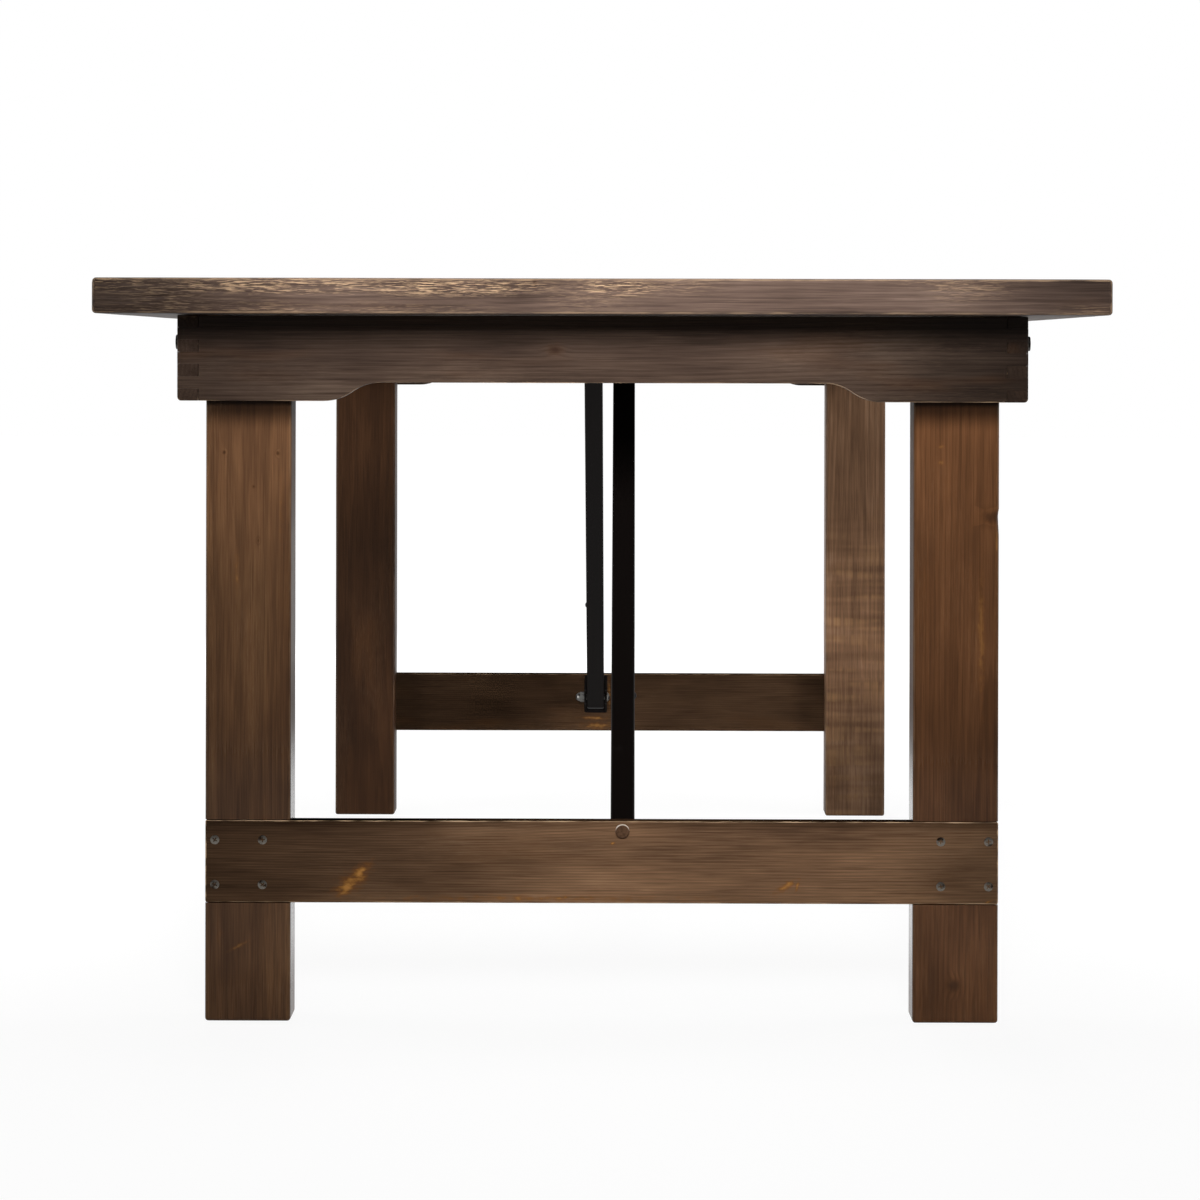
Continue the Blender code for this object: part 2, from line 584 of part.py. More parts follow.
def make_bracket(end, empty):
    """The steel fork on the inside of a stretcher, with its carriage bolt and nut."""
    name = f"{end}_brace_bracket"
    tall = BRACKET_BELOW_PIVOT + BRACKET_ABOVE_PIVOT
    plate_width = 2 * EAR_HALF_GAP + BRACKET_PLATE
    plate_y = STRETCHER_INNER_FACE + FIT_GAP + BRACKET_PLATE / 2
    plate_z = BRACE_PIVOT.z + (BRACKET_ABOVE_PIVOT - BRACKET_BELOW_PIVOT) / 2
    plate_at = (BRACE_OFFSET, plate_y, plate_z)
    bracket = box(name, (plate_width, BRACKET_PLATE, tall), plate_at, BLACK_STEEL, empty)
    root = plate_y - BRACE_PIVOT.y
    ear = [(root, BRACKET_ABOVE_PIVOT - UNION_OVERLAP), (root, UNION_OVERLAP - BRACKET_BELOW_PIVOT)]
    ear += arc((0, 0), BRACKET_EAR_RADIUS, -math.pi / 2, math.pi / 2, ROUND_END_STEPS)
    for side, across in (("left", -1), ("right", 1)):
        ear_x = BRACE_OFFSET + across * (EAR_HALF_GAP + BRACKET_PLATE / 2)
        ear_at = (ear_x, *BRACE_PIVOT.yz)
        join(bracket, outline(f"{name}_{side}_ear", [ear], BRACKET_PLATE, FACING_SIDE, ear_at, parent=empty))
    pin_hole = BRACE_BOLT_DIAMETER + 2 * BOLT_CLEARANCE
    pin_length = CUTTER_REACH * plate_width
    pin_at = (BRACE_OFFSET, *BRACE_PIVOT.yz)
    cut(bracket, rod(name + "_pin_hole", pin_hole, pin_length, pin_at, TOP_TO_RIGHT, parent=empty))
    bolt_z = carriage_bolt_height()
    hole = CARRIAGE_BOLT_DIAMETER + 2 * BOLT_CLEARANCE
    hole_length = CUTTER_REACH * BRACKET_PLATE
    hole_at = (BRACE_OFFSET, plate_y, bolt_z)
    cut(bracket, rod(name + "_hole", hole, hole_length, hole_at, TOP_TO_OUTSIDE, parent=empty))

    outside = -PIVOT_SETBACK - FIT_GAP
    nut_y = plate_y + BRACKET_PLATE / 2 + FIT_GAP + CARRIAGE_NUT_HEIGHT / 2
    shank = CARRIAGE_BOLT_DIAMETER / 2
    bolt_length = nut_y + CARRIAGE_NUT_HEIGHT / 2 + UNION_OVERLAP - outside
    profile = dome(CARRIAGE_HEAD_DIAMETER, CARRIAGE_HEAD_HEIGHT)
    profile += [(shank, 0), (shank, -bolt_length), (0, -bolt_length)]
    bolt_at = (BRACE_OFFSET, outside, bolt_z)
    turned(f"{end}_carriage_bolt", profile, bolt_at, TOP_TO_OUTSIDE, ZINC_STEEL, empty)
    hex_nut(f"{end}_carriage_nut", CARRIAGE_NUT_ACROSS, CARRIAGE_NUT_HEIGHT, CARRIAGE_BOLT_DIAMETER,
            (BRACE_OFFSET, nut_y, bolt_z), TOP_TO_OUTSIDE, ZINC_STEEL, empty)


def make_brace_pivot(end, empty):
    """The bolt and cap nut that pin the brace in its bracket."""
    grip = EAR_HALF_GAP + BRACKET_PLATE + FIT_GAP
    shank = BRACE_BOLT_DIAMETER / 2
    bolt_length = 2 * grip + CAP_NUT_HEX_HEIGHT
    profile = dome(BUTTON_HEAD_DIAMETER, BUTTON_HEAD_HEIGHT)
    profile += [(shank, 0), (shank, -bolt_length), (0, -bolt_length)]
    head_at = (BRACE_OFFSET - grip, *BRACE_PIVOT.yz)
    turned(f"{end}_brace_pivot_bolt", profile, head_at, TOP_TO_LEFT, ZINC_STEEL, empty)

    name = f"{end}_brace_pivot_cap_nut"
    face_at = (BRACE_OFFSET + grip, *BRACE_PIVOT.yz)
    nut_at = (BRACE_OFFSET + grip + CAP_NUT_HEX_HEIGHT / 2, *BRACE_PIVOT.yz)
    nut = rod(name, CAP_NUT_ACROSS, CAP_NUT_HEX_HEIGHT, nut_at, TOP_TO_RIGHT, ZINC_STEEL, empty,
              sides=HEX_SIDES)
    cap_radius = CAP_NUT_ACROSS / 2 - FIT_GAP
    cap_foot = CAP_NUT_HEX_HEIGHT / 2
    cap = arc((0, CAP_NUT_HEX_HEIGHT), cap_radius, math.pi / 2, 0, DOME_STEPS)
    cap[0] = (0, CAP_NUT_HEX_HEIGHT + cap_radius)
    cap_profile = cap + [(cap_radius, cap_foot), (0, cap_foot)]
    join(nut, turned(name + "_cap", cap_profile, face_at, TOP_TO_RIGHT, parent=empty))
    bore = BRACE_BOLT_DIAMETER + 2 * BOLT_CLEARANCE
    bore_length = 2 * (CAP_NUT_HEX_HEIGHT + UNION_OVERLAP)
    cut(nut, rod(name + "_bore", bore, bore_length, face_at, TOP_TO_RIGHT, parent=empty))


def make_brace(end, empty):
    """The square tube, drawn about its lower pivot and lying along the empty's own Y."""
    name = f"{end}_brace"
    outer = rounded_square(BRACE_TUBE, BRACE_CORNER_RADIUS)
    inner = rounded_square(BRACE_TUBE - 2 * BRACE_WALL, BRACE_CORNER_RADIUS - BRACE_WALL)
    length = BRACE_TAIL + BRACE_LENGTH + BRACE_NOSE
    middle = (BRACE_LENGTH + BRACE_NOSE - BRACE_TAIL) / 2
    tube = outline(name, [outer, inner], length, FACING_FRONT, (0, middle, 0), BLACK_STEEL, empty)
    hole_length = CUTTER_REACH * BRACE_TUBE
    bolts = (("lower", 0, BRACE_BOLT_DIAMETER), ("upper", BRACE_LENGTH, CLAMP_BOLT_DIAMETER))
    for level, along, bolt in bolts:
        hole = bolt + 2 * BOLT_CLEARANCE
        cut(tube, rod(f"{name}_{level}_hole", hole, hole_length, (0, along, 0), TOP_TO_RIGHT, parent=empty))
    make_plug(f"{name}_lower_plug", -BRACE_TAIL, -1, empty)
    make_plug(f"{name}_upper_plug", BRACE_LENGTH + BRACE_NOSE, 1, empty)


def make_plug(name, end_y, outward, empty):
    """A plastic plug: a flange on the tube's end and a short stem inside the tube."""
    flange_middle = end_y + outward * (FIT_GAP + PLUG_FLANGE / 2)
    flange = rounded_square(BRACE_TUBE, BRACE_CORNER_RADIUS)
    plug = outline(name, [flange], PLUG_FLANGE, FACING_FRONT, (0, flange_middle, 0), BLACK_PLASTIC, empty)
    stem_side = BRACE_TUBE - 2 * (BRACE_WALL + FIT_GAP)
    stem_length = PLUG_DEPTH + FIT_GAP + PLUG_FLANGE / 2
    stem_middle = end_y + outward * (FIT_GAP + PLUG_FLANGE / 2 - stem_length / 2)
    join(plug, box(name + "_stem", (stem_side, stem_length, stem_side), (0, stem_middle, 0), parent=empty))


def catch_exit_angle():
    """The way the clamp bolt leaves the catch as the leg frame starts to fold."""
    pivot_move = Vector((-BRACE_PIVOT.z, BRACE_PIVOT.y))
    swing = BRACE_FOLD_RATE * BRACE_LENGTH
    brace_move = Vector((swing * math.sin(BRACE_ANGLE), -swing * math.cos(BRACE_ANGLE)))
    move = pivot_move + brace_move
    return math.atan2(move.y, move.x)


def make_catch(end, empty):
    """The bracket under the top whose two slotted ears take the clamp bolt."""
    name = f"{end}_brace_catch"
    ear_outer = EAR_HALF_GAP + CATCH_PLATE
    plate_width = 2 * (ear_outer + CATCH_FLANGE)
    plate_middle = CATCH_DROP - FIT_GAP - CATCH_PLATE / 2
    plate_at = CATCH_PIN + Vector((0, 0, plate_middle))
    catch = box(name, (plate_width, CATCH_LENGTH, CATCH_PLATE), plate_at, BLACK_STEEL, empty)
    corner = CATCH_EAR_BELOW
    ear = arc((corner - CATCH_EAR_REACH, 0), corner, math.pi, 1.5 * math.pi, DOME_STEPS)
    ear += arc((CATCH_EAR_REACH - corner, 0), corner, 1.5 * math.pi, 2 * math.pi, DOME_STEPS)
    ear += [(CATCH_EAR_REACH, plate_middle), (-CATCH_EAR_REACH, plate_middle)]
    for side, across in (("left", -1), ("right", 1)):
        ear_at = CATCH_PIN + Vector((across * (EAR_HALF_GAP + CATCH_PLATE / 2), 0, 0))
        join(catch, outline(f"{name}_{side}_ear", [ear], CATCH_PLATE, FACING_SIDE, ear_at, parent=empty))
    slot_radius = CLAMP_BOLT_DIAMETER / 2 + BOLT_CLEARANCE
    mouth = 2 * CATCH_EAR_REACH
    slot = arc((0, 0), slot_radius, math.pi / 2, 1.5 * math.pi, ROUND_END_STEPS)
    slot += [(mouth, -slot_radius), (mouth, slot_radius)]
    slot_width = CUTTER_REACH * ear_outer
    exit_turn = (catch_exit_angle(), 0, 0)
    cut(catch, outline(name + "_slot", [slot], slot_width, FACING_SIDE, CATCH_PIN, parent=empty,
                       rotation=exit_turn))


def make_clamp(end, brace_empty, wing_empty):
    """The clamp bolt through the brace's upper end and the wing nut that tightens it."""
    ear_outside = EAR_HALF_GAP + CATCH_PLATE + FIT_GAP
    radius = BUTTON_HEAD_DIAMETER / 2
    head = [(0, BUTTON_HEAD_HEIGHT), (radius - UNION_OVERLAP, BUTTON_HEAD_HEIGHT),
            (radius, BUTTON_HEAD_HEIGHT - UNION_OVERLAP), (radius, 0)]
    shank = CLAMP_BOLT_DIAMETER / 2
    length = 2 * ear_outside + WING_NUT_HEIGHT + UNION_OVERLAP
    profile = head + [(shank, 0), (shank, -length), (0, -length)]
    bolt_at = (-ear_outside, BRACE_LENGTH, 0)
    turned(f"{end}_clamp_bolt", profile, bolt_at, TOP_TO_LEFT, ZINC_STEEL, brace_empty)

    name = f"{end}_wing_nut"
    base = WING_NUT_BASE_DIAMETER / 2
    crown = WING_NUT_TOP_DIAMETER / 2
    hub = [(0, WING_NUT_HEIGHT), (crown, WING_NUT_HEIGHT), (base, 0), (0, 0)]
    nut = turned(name, hub, (ear_outside, 0, 0), TOP_TO_RIGHT, ZINC_STEEL, wing_empty)
    tip = (WING_RADIUS - base) / 2
    tip_up = WING_NUT_HEIGHT + WING_RISE - tip
    wing = [(0, UNION_OVERLAP), (base, UNION_OVERLAP)]
    wing += arc((WING_RADIUS - tip, tip_up), tip, 0, math.pi, ROUND_END_STEPS)
    wing += [(crown, WING_NUT_HEIGHT - UNION_OVERLAP), (0, WING_NUT_HEIGHT - UNION_OVERLAP)]
    for side, across in (("left", -1), ("right", 1)):
        points = [(across * out, up) for out, up in wing]
        join(nut, outline(f"{name}_{side}_wing", [points], WING_THICKNESS, FACING_FRONT, (ear_outside, 0, 0),
                          parent=wing_empty, rotation=TOP_TO_RIGHT))
    bore = CLAMP_BOLT_DIAMETER + 2 * BOLT_CLEARANCE
    bore_length = CUTTER_REACH * (WING_NUT_HEIGHT + WING_RISE)
    cut(nut, rod(name + "_bore", bore, bore_length, (ear_outside, 0, 0), TOP_TO_RIGHT, parent=wing_empty))


def make_keeper(end, empty):
    """The spring clip under the top that the folded brace snaps up into."""
    name = f"{end}_brace_keeper"
    inner = BRACE_TUBE / 2 + BRACKET_SIDE_GAP
    outer = inner + KEEPER_STRIP
    top = PIVOT_DROP - FIT_GAP
    under = top - KEEPER_STRIP
    low = BRACE_PIVOT.y
    lip = low - KEEPER_LIP
    flange_end = outer + KEEPER_FLANGE
    half = [(flange_end, top), (flange_end, under), (outer, under), (outer, low), (outer + KEEPER_LIP, lip),
            (inner + KEEPER_LIP, lip), (inner, low), (inner, under)]
    section = half + [(-across, up) for across, up in reversed(half)]
    along = PIVOT_Y + KEEPER_PAST_MIDDLE
    outline(name, [section], KEEPER_LENGTH, FACING_FRONT, (BRACE_OFFSET, along, 0), BLACK_STEEL, empty)


clear_scene()
parts = new_collection("farmhouse_table")
cutters = new_collection("cutters")
cutters.hide_render = True

# Each end has an empty on its leg pivot line, facing inward, so the rear end is the front end turned round
end_empties = {}
for end_name, toward_end, half_turn in (("front", -1, 0), ("rear", 1, math.pi)):
    pivot_at = (0, toward_end * PIVOT_Y, PIVOT_HEIGHT)
    end_empties[end_name] = hinge_empty(f"{end_name}_leg_pivot", pivot_at, half_turn)
bpy.context.view_layer.update()

for plank_index in range(PLANK_COUNT):
    make_plank(plank_index)
for side_name, side_sign in (("left", -1), ("right", 1)):
    make_side_apron(side_name, side_sign)
    make_middle_batten(side_name, side_sign)
for end_name, toward_end in (("front", -1), ("rear", 1)):
    make_breadboard(end_name, toward_end)
    make_end_apron(end_name, toward_end)
    make_ledger(end_name, toward_end)
    make_cleat(end_name, toward_end)
for end_name in ENDS:
    pivot_empty = end_empties[end_name]
    for local_side in (-1, 1):
        world_side = local_side if end_name == "front" else -local_side
        side_name = "right" if world_side > 0 else "left"
        make_leg(f"{end_name}_{side_name}_leg", pivot_empty, local_side)
        make_leg_pivot(end_name, side_name, pivot_empty, local_side)
    make_stretcher(end_name, pivot_empty)
    make_bracket(end_name, pivot_empty)
    make_brace_pivot(end_name, pivot_empty)
    brace_pivot_at = (BRACE_OFFSET, *BRACE_PIVOT.yz)
    brace_hinge = hinge_empty(f"{end_name}_brace_hinge", brace_pivot_at, parent=pivot_empty)
    brace_hinge.rotation_euler = (BRACE_ANGLE, 0, 0)
    wing_hinge = hinge_empty(f"{end_name}_wing_hinge", (0, BRACE_LENGTH, 0), parent=brace_hinge)
    make_brace(end_name, brace_hinge)
    make_clamp(end_name, brace_hinge, wing_hinge)
    make_catch(end_name, pivot_empty)
    make_keeper(end_name, pivot_empty)
bpy.context.view_layer.update()
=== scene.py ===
"""Looks of the folding farmhouse table: worn stained boards, black braces, zinc fasteners, a white studio."""

import math
import random

import bmesh
import bpy
from mathutils import Color, Matrix, Vector, noise


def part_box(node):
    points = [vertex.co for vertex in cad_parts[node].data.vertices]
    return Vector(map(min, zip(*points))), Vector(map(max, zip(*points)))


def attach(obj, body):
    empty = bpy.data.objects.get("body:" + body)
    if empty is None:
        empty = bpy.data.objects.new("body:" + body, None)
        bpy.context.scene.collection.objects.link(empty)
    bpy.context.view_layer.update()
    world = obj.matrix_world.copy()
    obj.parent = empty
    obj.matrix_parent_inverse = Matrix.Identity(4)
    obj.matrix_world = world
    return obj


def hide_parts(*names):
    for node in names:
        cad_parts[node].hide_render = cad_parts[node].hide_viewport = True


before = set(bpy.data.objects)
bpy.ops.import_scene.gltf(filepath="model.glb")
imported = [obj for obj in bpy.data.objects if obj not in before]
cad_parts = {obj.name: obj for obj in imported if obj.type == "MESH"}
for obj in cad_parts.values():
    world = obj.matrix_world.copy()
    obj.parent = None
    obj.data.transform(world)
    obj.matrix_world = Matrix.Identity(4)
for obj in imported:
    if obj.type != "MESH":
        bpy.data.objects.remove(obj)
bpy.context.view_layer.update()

# Camera at the photograph's view: metres, angles, and pixels of a square image
IMAGE_SIZE = 1200
FOCAL_PIXELS = 4551.4
CENTRE_PIXEL = (599.9, 367.2)
CAMERA_AT = Vector((0.02734, -5.74376, 0.6913))
CAMERA_YAW = math.radians(-0.369)
CAMERA_PITCH = math.radians(-0.225)
CAMERA_ROLL = math.radians(0.132)
SENSOR_WIDTH = 36
CLIP_END = 100

# Axes, angles, and which way the table's ends and sides face
X, Y, Z = 0, 1, 2
AXES = (Vector((1, 0, 0)), Vector((0, 1, 0)), Vector((0, 0, 1)))
DOWN = (0, 0, -1)
QUARTER_TURN = math.pi / 2
SIXTH_TURN = math.pi / 3
ENDS = {"front": -1, "rear": 1}
SIDES = {"left": -1, "right": 1}

# Boards: radii of their arrises, and spacing of their cross-sections
PLANKS = sorted(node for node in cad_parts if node.startswith("top_plank_"))
TOP_ROUND = 0.004
SEAM_ROUND = 0.002
APRON_ROUND = 0.0012
APRON_CORNER_ROUND = 0.004
LEG_ROUND = 0.0035
STRETCHER_ROUND = 0.0022
HIDDEN_ROUND = 0.0015
ARRIS_STEPS = 4
FINE_SPACING = 0.009
LONG_SPACING = 0.016
SIDE_SPACING = 0.014
SECTION_JUMP = 0.00002
JUMP_ROOM = 0.25
SUPPORT = 0.0012
SUPPORT_LIMIT = 0.3
SMOOTH_ANGLE = math.radians(35)

# Boards: how uneven and chipped they are
UNEVEN_DEPTH = 0.00025
UNEVEN_SCALE = 7.0
CHIP_DEPTH = 0.0012
CHIP_SCALE = 48.0
CHIP_START = 0.25
SEED_SPAN = 50

# Joinery that shows
FINGER_COUNT = 7
FINGER_GAP = 0.0003
TIGHT_GAP = 0.0001
ARCH_SHOULDER = 0.15
ARCH_OGEE_RUN = 0.058
ARCH_RISE = 0.019
LEG_SETBACK = 0.042

# Brushed patches on the breadboards' edges: place along, depth below the top, and half-sizes
BRUSHED_PATCHES = ((-0.32, 0.007, 0.12, 0.01), (-0.15, 0.009, 0.11, 0.01), (0.015, 0.009, 0.045, 0.01))

# Where the colour is darker: axis, start, full, and how much darker
TOP_SHADES = ((X, -0.3, -0.45, 0.7), (X, 0.25, 0.48, 0.35))
APRON_SHADES = ((X, -0.05, -0.4, 0.28), (X, 0.13, 0.4, 0.68))
LEFT_APRON_SHADES = ((Y, -1.04, -1.09, 0.22), (Y, 1.04, 1.09, 0.22))
RIGHT_APRON_SHADES = ((Y, -1.04, -1.09, 0.45), (Y, 1.04, 1.09, 0.45))
# The last entry of each near leg is a painted shadow at its top, where the apron shades it
LEFT_LEG_SHADES = ((Z, 0.6, 0.42, 0.52), (Z, 0.2, 0.08, -0.4), (Z, 0.606, 0.63, 0.8))
RIGHT_LEG_SHADES = ((Z, 0.64, 0.44, 0.34), (Z, 0.2, 0.08, -0.3), (Z, 0.606, 0.63, 0.8))
REAR_LEFT_LEG_SHADES = ((Z, 0.62, 0.3, 0.45),)
REAR_RIGHT_LEG_SHADES = ((Z, 0.36, 0.56, 0.17), (Z, 0.28, 0.03, 0.66))
FRONT_STRETCHER_SHADES = ((X, 0.1, -0.3, 0.62), (X, 0.2, 0.4, 0.42), (Z, 0.196, 0.203, 0.38),
                          (Z, 0.142, 0.124, -0.28))
REAR_STRETCHER_SHADES = ((X, 0.02, -0.2, 0.5),)

# Where handling has polished the near legs: axis, start, full, and how much smoother
LEFT_LEG_POLISH = ((Z, 0.34, 0.21, 0.28), (Z, 0.56, 0.48, 0.09), (Z, 0.1, 0.02, -0.17))
RIGHT_LEG_POLISH = ((Z, 0.34, 0.2, 0.42), (Z, 0.1, 0.02, -0.18))

# Marks on boards' front faces: place across, height, two half-sizes, and slant of the first in degrees
TOP_NICKS = ((-0.0665, 0.759, 0.0016, 0.0045, 0),)
APRON_KNOTS = ((-0.0485, 0.6906, 0.006, 0.004, 0),)
LEFT_LEG_KNOTS = (
    (-0.3884, 0.5846, 0.0013, 0.0014, 0),
    (-0.3581, 0.5495, 0.0012, 0.0013, 0),
    (-0.3533, 0.494, 0.0012, 0.0022, 0),
    (-0.3334, 0.5836, 0.0015, 0.0018, 0),
)
LEFT_LEG_AMBERS = ((-0.3725, 0.0775, 0.0165, 0.0024, 29),)
LEFT_LEG_GLOWS = (
    (-0.33, 0.53, 0.09, 0.006, 90),
    (-0.3755, 0.46, 0.06, 0.008, 90),
    (-0.393, 0.09, 0.04, 0.007, 90),
)
RIGHT_LEG_KNOTS = (
    (0.3617, 0.0388, 0.0042, 0.005, 0),
    (0.4015, 0.5203, 0.0085, 0.0046, 0),
    (0.4068, 0.5088, 0.0015, 0.003, 0),
)
RIGHT_LEG_AMBERS = (
    (0.3894, 0.4, 0.085, 0.0048, 90),
    (0.405, 0.495, 0.018, 0.0016, 90),
    (0.3474, 0.592, 0.0045, 0.0026, 0),
    (0.3474, 0.576, 0.005, 0.0036, 0),
)
STRETCHER_AMBERS = (
    (-0.249, 0.152, 0.017, 0.0092, 48),
    (-0.262, 0.138, 0.013, 0.0078, 60),
    (0.0112, 0.184, 0.003, 0.0017, 20),
)
STRETCHER_FAINT_AMBERS = (
    (0.189, 0.14, 0.017, 0.005, 32),
    (0.201, 0.14, 0.009, 0.0028, 75),
    (0.397, 0.125, 0.008, 0.0024, 20),
)
STRETCHER_GLOWS = (
    (-0.26, 0.141, 0.036, 0.019, 10),
    (-0.06, 0.127, 0.33, 0.008, 0),
)
REAR_STRETCHER_AMBERS = (
    (-0.022, 0.141, 0.024, 0.0034, 0),
    (-0.02, 0.13, 0.026, 0.007, 0),
    (-0.0013, 0.178, 0.028, 0.0026, 90),
)

# How far marks melt together, the distance where there is none, and how much deeper or fainter some are
SPOT_MELT = 0.8
NO_SPOT = 1000.0
DEEPER = -0.35
FAINT = 0.2
FAINTER = 0.6

# A dent in the arris of the near right leg: place, radius and depth
RIGHT_LEG_DENTS = ((Vector((0.4074, -1.0714, 0.516)), 0.009, 0.0035),)

# Planks: ranges for what chance decides
PLANK_KNOTS = 3
PLANK_KNOT_RADIUS = (0.005, 0.009)
PLANK_KNOT_STRETCH = (1.2, 2.0)
PLANK_DEPTH = (0.8, 1.3)

# Fasteners
TURN_SIDES = 48
DOME_RINGS = 9
DOME_FLAT = 0.3
SCREW_DIAMETER = 0.0094
SCREW_DOME = 0.0005
SCREW_DEPTH = 0.002
SCREW_TAPER = 0.6
SCREW_RECESS_ARM = Vector((0.0026, 0.0006, 0.0013))
STRETCHER_SCREW_INSETS = (0.01, 0.059)
STRETCHER_SCREW_DROP = 0.0205
STRETCHER_SCREW_LIFT = 0.0185
BOARD_SCREW_INSET = 0.018
FIXING_INSET = 0.0065
CATCH_PLATE = 0.0025
KEEPER_PLATE = 0.0015
SEAM_DIGITS = 4
SHANK_DIAMETER = 0.008
HEX_ACROSS = 0.013
HEX_FACE = 0.97
HEX_CHAMFER = math.radians(30)
FLANGE_DIAMETER = 0.0165
FLANGE_THICKNESS = 0.0016
FLANGE_WALL = 0.6
FLANGE_FACE = 0.95
CARRIAGE_HEAD_DIAMETER = 0.0146
CARRIAGE_HEAD_HEIGHT = 0.0035
CARRIAGE_EDGE = 0.0004
CARRIAGE_BEVEL = 0.0011
CARRIAGE_BEVEL_SLOPE = math.radians(13)
CARRIAGE_SHANK_DIAMETER = 0.006
BUTTON_DIAMETER = 0.014
BUTTON_HEIGHT = 0.0044
CAP_HEX_HEIGHT = 0.0065
RIVET_DIAMETER = 0.008
RIVET_HEIGHT = 0.0018
RIVET_ALONG_BRACE = 0.275

# Colours, as red, green and blue of a full level. A stain has a dark, a middle and a light one
FULL_LEVEL = 255
STAIN_LAYERS = ("Dark", "Middle", "Light")
WARM_STAIN = ((54, 36, 24), (86, 60, 40), (110, 80, 54))
GREY_STAIN = ((48, 37, 31), (82, 66, 56), (108, 90, 77))
ASH_STAIN = ((48, 38, 33), (82, 67, 59), (108, 91, 81))
BROWN_STAIN = ((54, 39, 28), (88, 66, 48), (112, 86, 64))
RED_STAIN = ((47, 29, 16), (70, 45, 27), (90, 60, 38))
FIGURED_STAIN = ((58, 41, 29), (94, 69, 50), (118, 91, 70))
STAIN_AMBER = (112, 68, 26)
FIGURE_GOLD = (160, 122, 82)
AMBER_CORE = (182, 132, 68)
BARE_WOOD = (198, 166, 132)
KNOT_BROWN = (32, 19, 12)
POWDER_BLACK = (12, 9, 8)
POWDER_WORN = (30, 27, 26)
PLUG_BLACK = (20, 19, 19)
NYLON_CREAM = (206, 200, 186)
BOLT_BROWN = (80, 58, 42)
# Painted highlight on the carriage bolts' upper bevels
PAINTED_HIGHLIGHT_STEEL = (204, 194, 182)
FLOOR_GREY = (106, 106, 106)
BLACK = (0.0, 0.0, 0.0, 1.0)
WHITE = (1.0, 1.0, 1.0, 1.0)

# Zinc plate where it is bright and where it is tarnished
BRIGHT_ZINC = ((122, 121, 117), (66, 64, 60))
WORN_ZINC = ((112, 111, 108), (40, 38, 36))
PIVOT_ZINC = ((60, 58, 55), (26, 24, 22))
SCREW_ZINC = ((112, 108, 101), (42, 33, 26))

# Noise in the wood: scale along and across the grain, detail, and roughness where it isn't one half
NOISE_MIDDLE = 0.5
RING_DRIFT = (1.3, 6, 1)
RING_RAGS = (3, 60, 2)
FIBRE = (16, 700, 4, 0.65)
STREAK = (3.5, 120, 3, 0.55)
CLOUD = (5, 16, 3, 0.55)
WAVES = (70, 6, 1)
BLOTCHES = (120, 260, 3)
DASH_DRIFT = (80, 80, 1)
EDGE_RUBS = (30, 90, 2)

# Patches: noise, and the smooth step that it goes through
PORES = ((11, 480, 2), (0.56, 0.68, 0.45))
BARS = ((80, 10, 1.5), (0.44, 0.7, 0.42))
THREADS = ((14, 200, 2), (0.3, 0.66))
THIN_STAIN = ((5, 24, 3, 0.6), (0.52, 0.72))
DASHES = ((70, 1500, 2, 0.55), (0.49, 0.66))
BRUSHED_AREAS = ((5, 20, 1), (0.42, 0.66, 0.45))
TARNISH = ((130, 130, 3, 0.6), (0.42, 0.66))
RUBBED_COAT = ((38, 38, 4, 0.7), (0.6, 0.78, 0.3))
DUST = ((60, 60, 3), (0.45, 0.8, 0.25))

# Smooth steps: start, full, and the full value where it isn't 1
LATE_WOOD = (0.25, 0.92)
RING_END = (1.0, 0.93)
KNOT_SWIRL = (3.2, 0.4, 0.004)
MIDDLE_STEP = (0.0, 0.6)
LIGHT_STEP = (0.45, 1.0)
AMBER_STEP = (1.2, 0.1)
AMBER_CORE_STEP = (0.7, 0.0, 0.7)
KNOT_HALO_STEP = (2.4, 0.9, 0.06)
KNOT_STEP = (1.7, 0.1, 0.6)
PATCH_STEP = (1.3, 0.3, 1.2)
EDGE_STEP = (0.66, 1.0)
FACING_UP = (0.7, 0.95)
FACING_END = (0.75, 0.95)
FIGURE_HEIGHTS = (0.5, 0.3)

# Amounts in the wood
RING_SHAKE = 0.036
RAG_GAIN = 0.9
FIBRE_GAIN = 0.9
LATE_GAIN = 0.34
THIN_GAIN = 0.05
BLOTCH_GAIN = 1.6
DASH_SHAKE = 0.0008
EDGE_LEVEL = 0.55
END_GRAIN_GAIN = 0.15
LEAST_ROUGHNESS = 0.38
ROUGHNESS_GAIN = 0.22
FIBRE_RELIEF = 0.7
LATE_RELIEF = 0.25
BRUSHED_RELIEF = 0.6
WOOD_RELIEF = 0.0006
WOOD_GLOSS = 0.09
PITH_ASIDE = 0.03
PITH_AWAY = (0.035, 0.085)
PITH_ALONG = 5

# Finishes: noise of the fine texture, least roughness and what the texture adds, relief and gloss
FINE_RELIEF = 0.0002
PLAIN_GLOSS = 0.5
POWDER_COAT = {"patches": RUBBED_COAT, "texture": (900, 900, 1), "rough": (0.42, 0.2), "bump": 0.06,
               "gloss": 0.05}
PLASTIC = {"patches": DUST, "texture": (700, 700, 2), "rough": (0.4, 0.25), "bump": 0.2}
ZINC_PLATE = {"texture": (420, 420, 3, 0.6), "rough": (0.26, 0.3), "bump": 0.15, "metallic": 1.0}
STAINED_HEAD = {"texture": (300, 300, 3, 0.6), "rough": (0.25, 0.2), "bump": 0.15, "gloss": 0.1}
SMEAR_STEP = (0.4, 0.7, 0.5)

# Studio: the floor glows more with distance, and reflections see more light behind the table
FLOOR_SIZE = 30
FLOOR_ROUGHNESS = 0.9
FLOOR_GLOW = 0.9
FLOOR_GLOW_SPAN = (1.5, 5.0)
BEHIND_STEP = (-0.35, 0.45, 0.85)
GLOSS_LIGHT = 0.15
FILL_LIGHT = 0.05


def tone(colour):
    """A colour of whole levels as the linear value that a shader takes."""
    return (*Color([level / FULL_LEVEL for level in colour]).from_srgb_to_scene_linear(), 1.0)


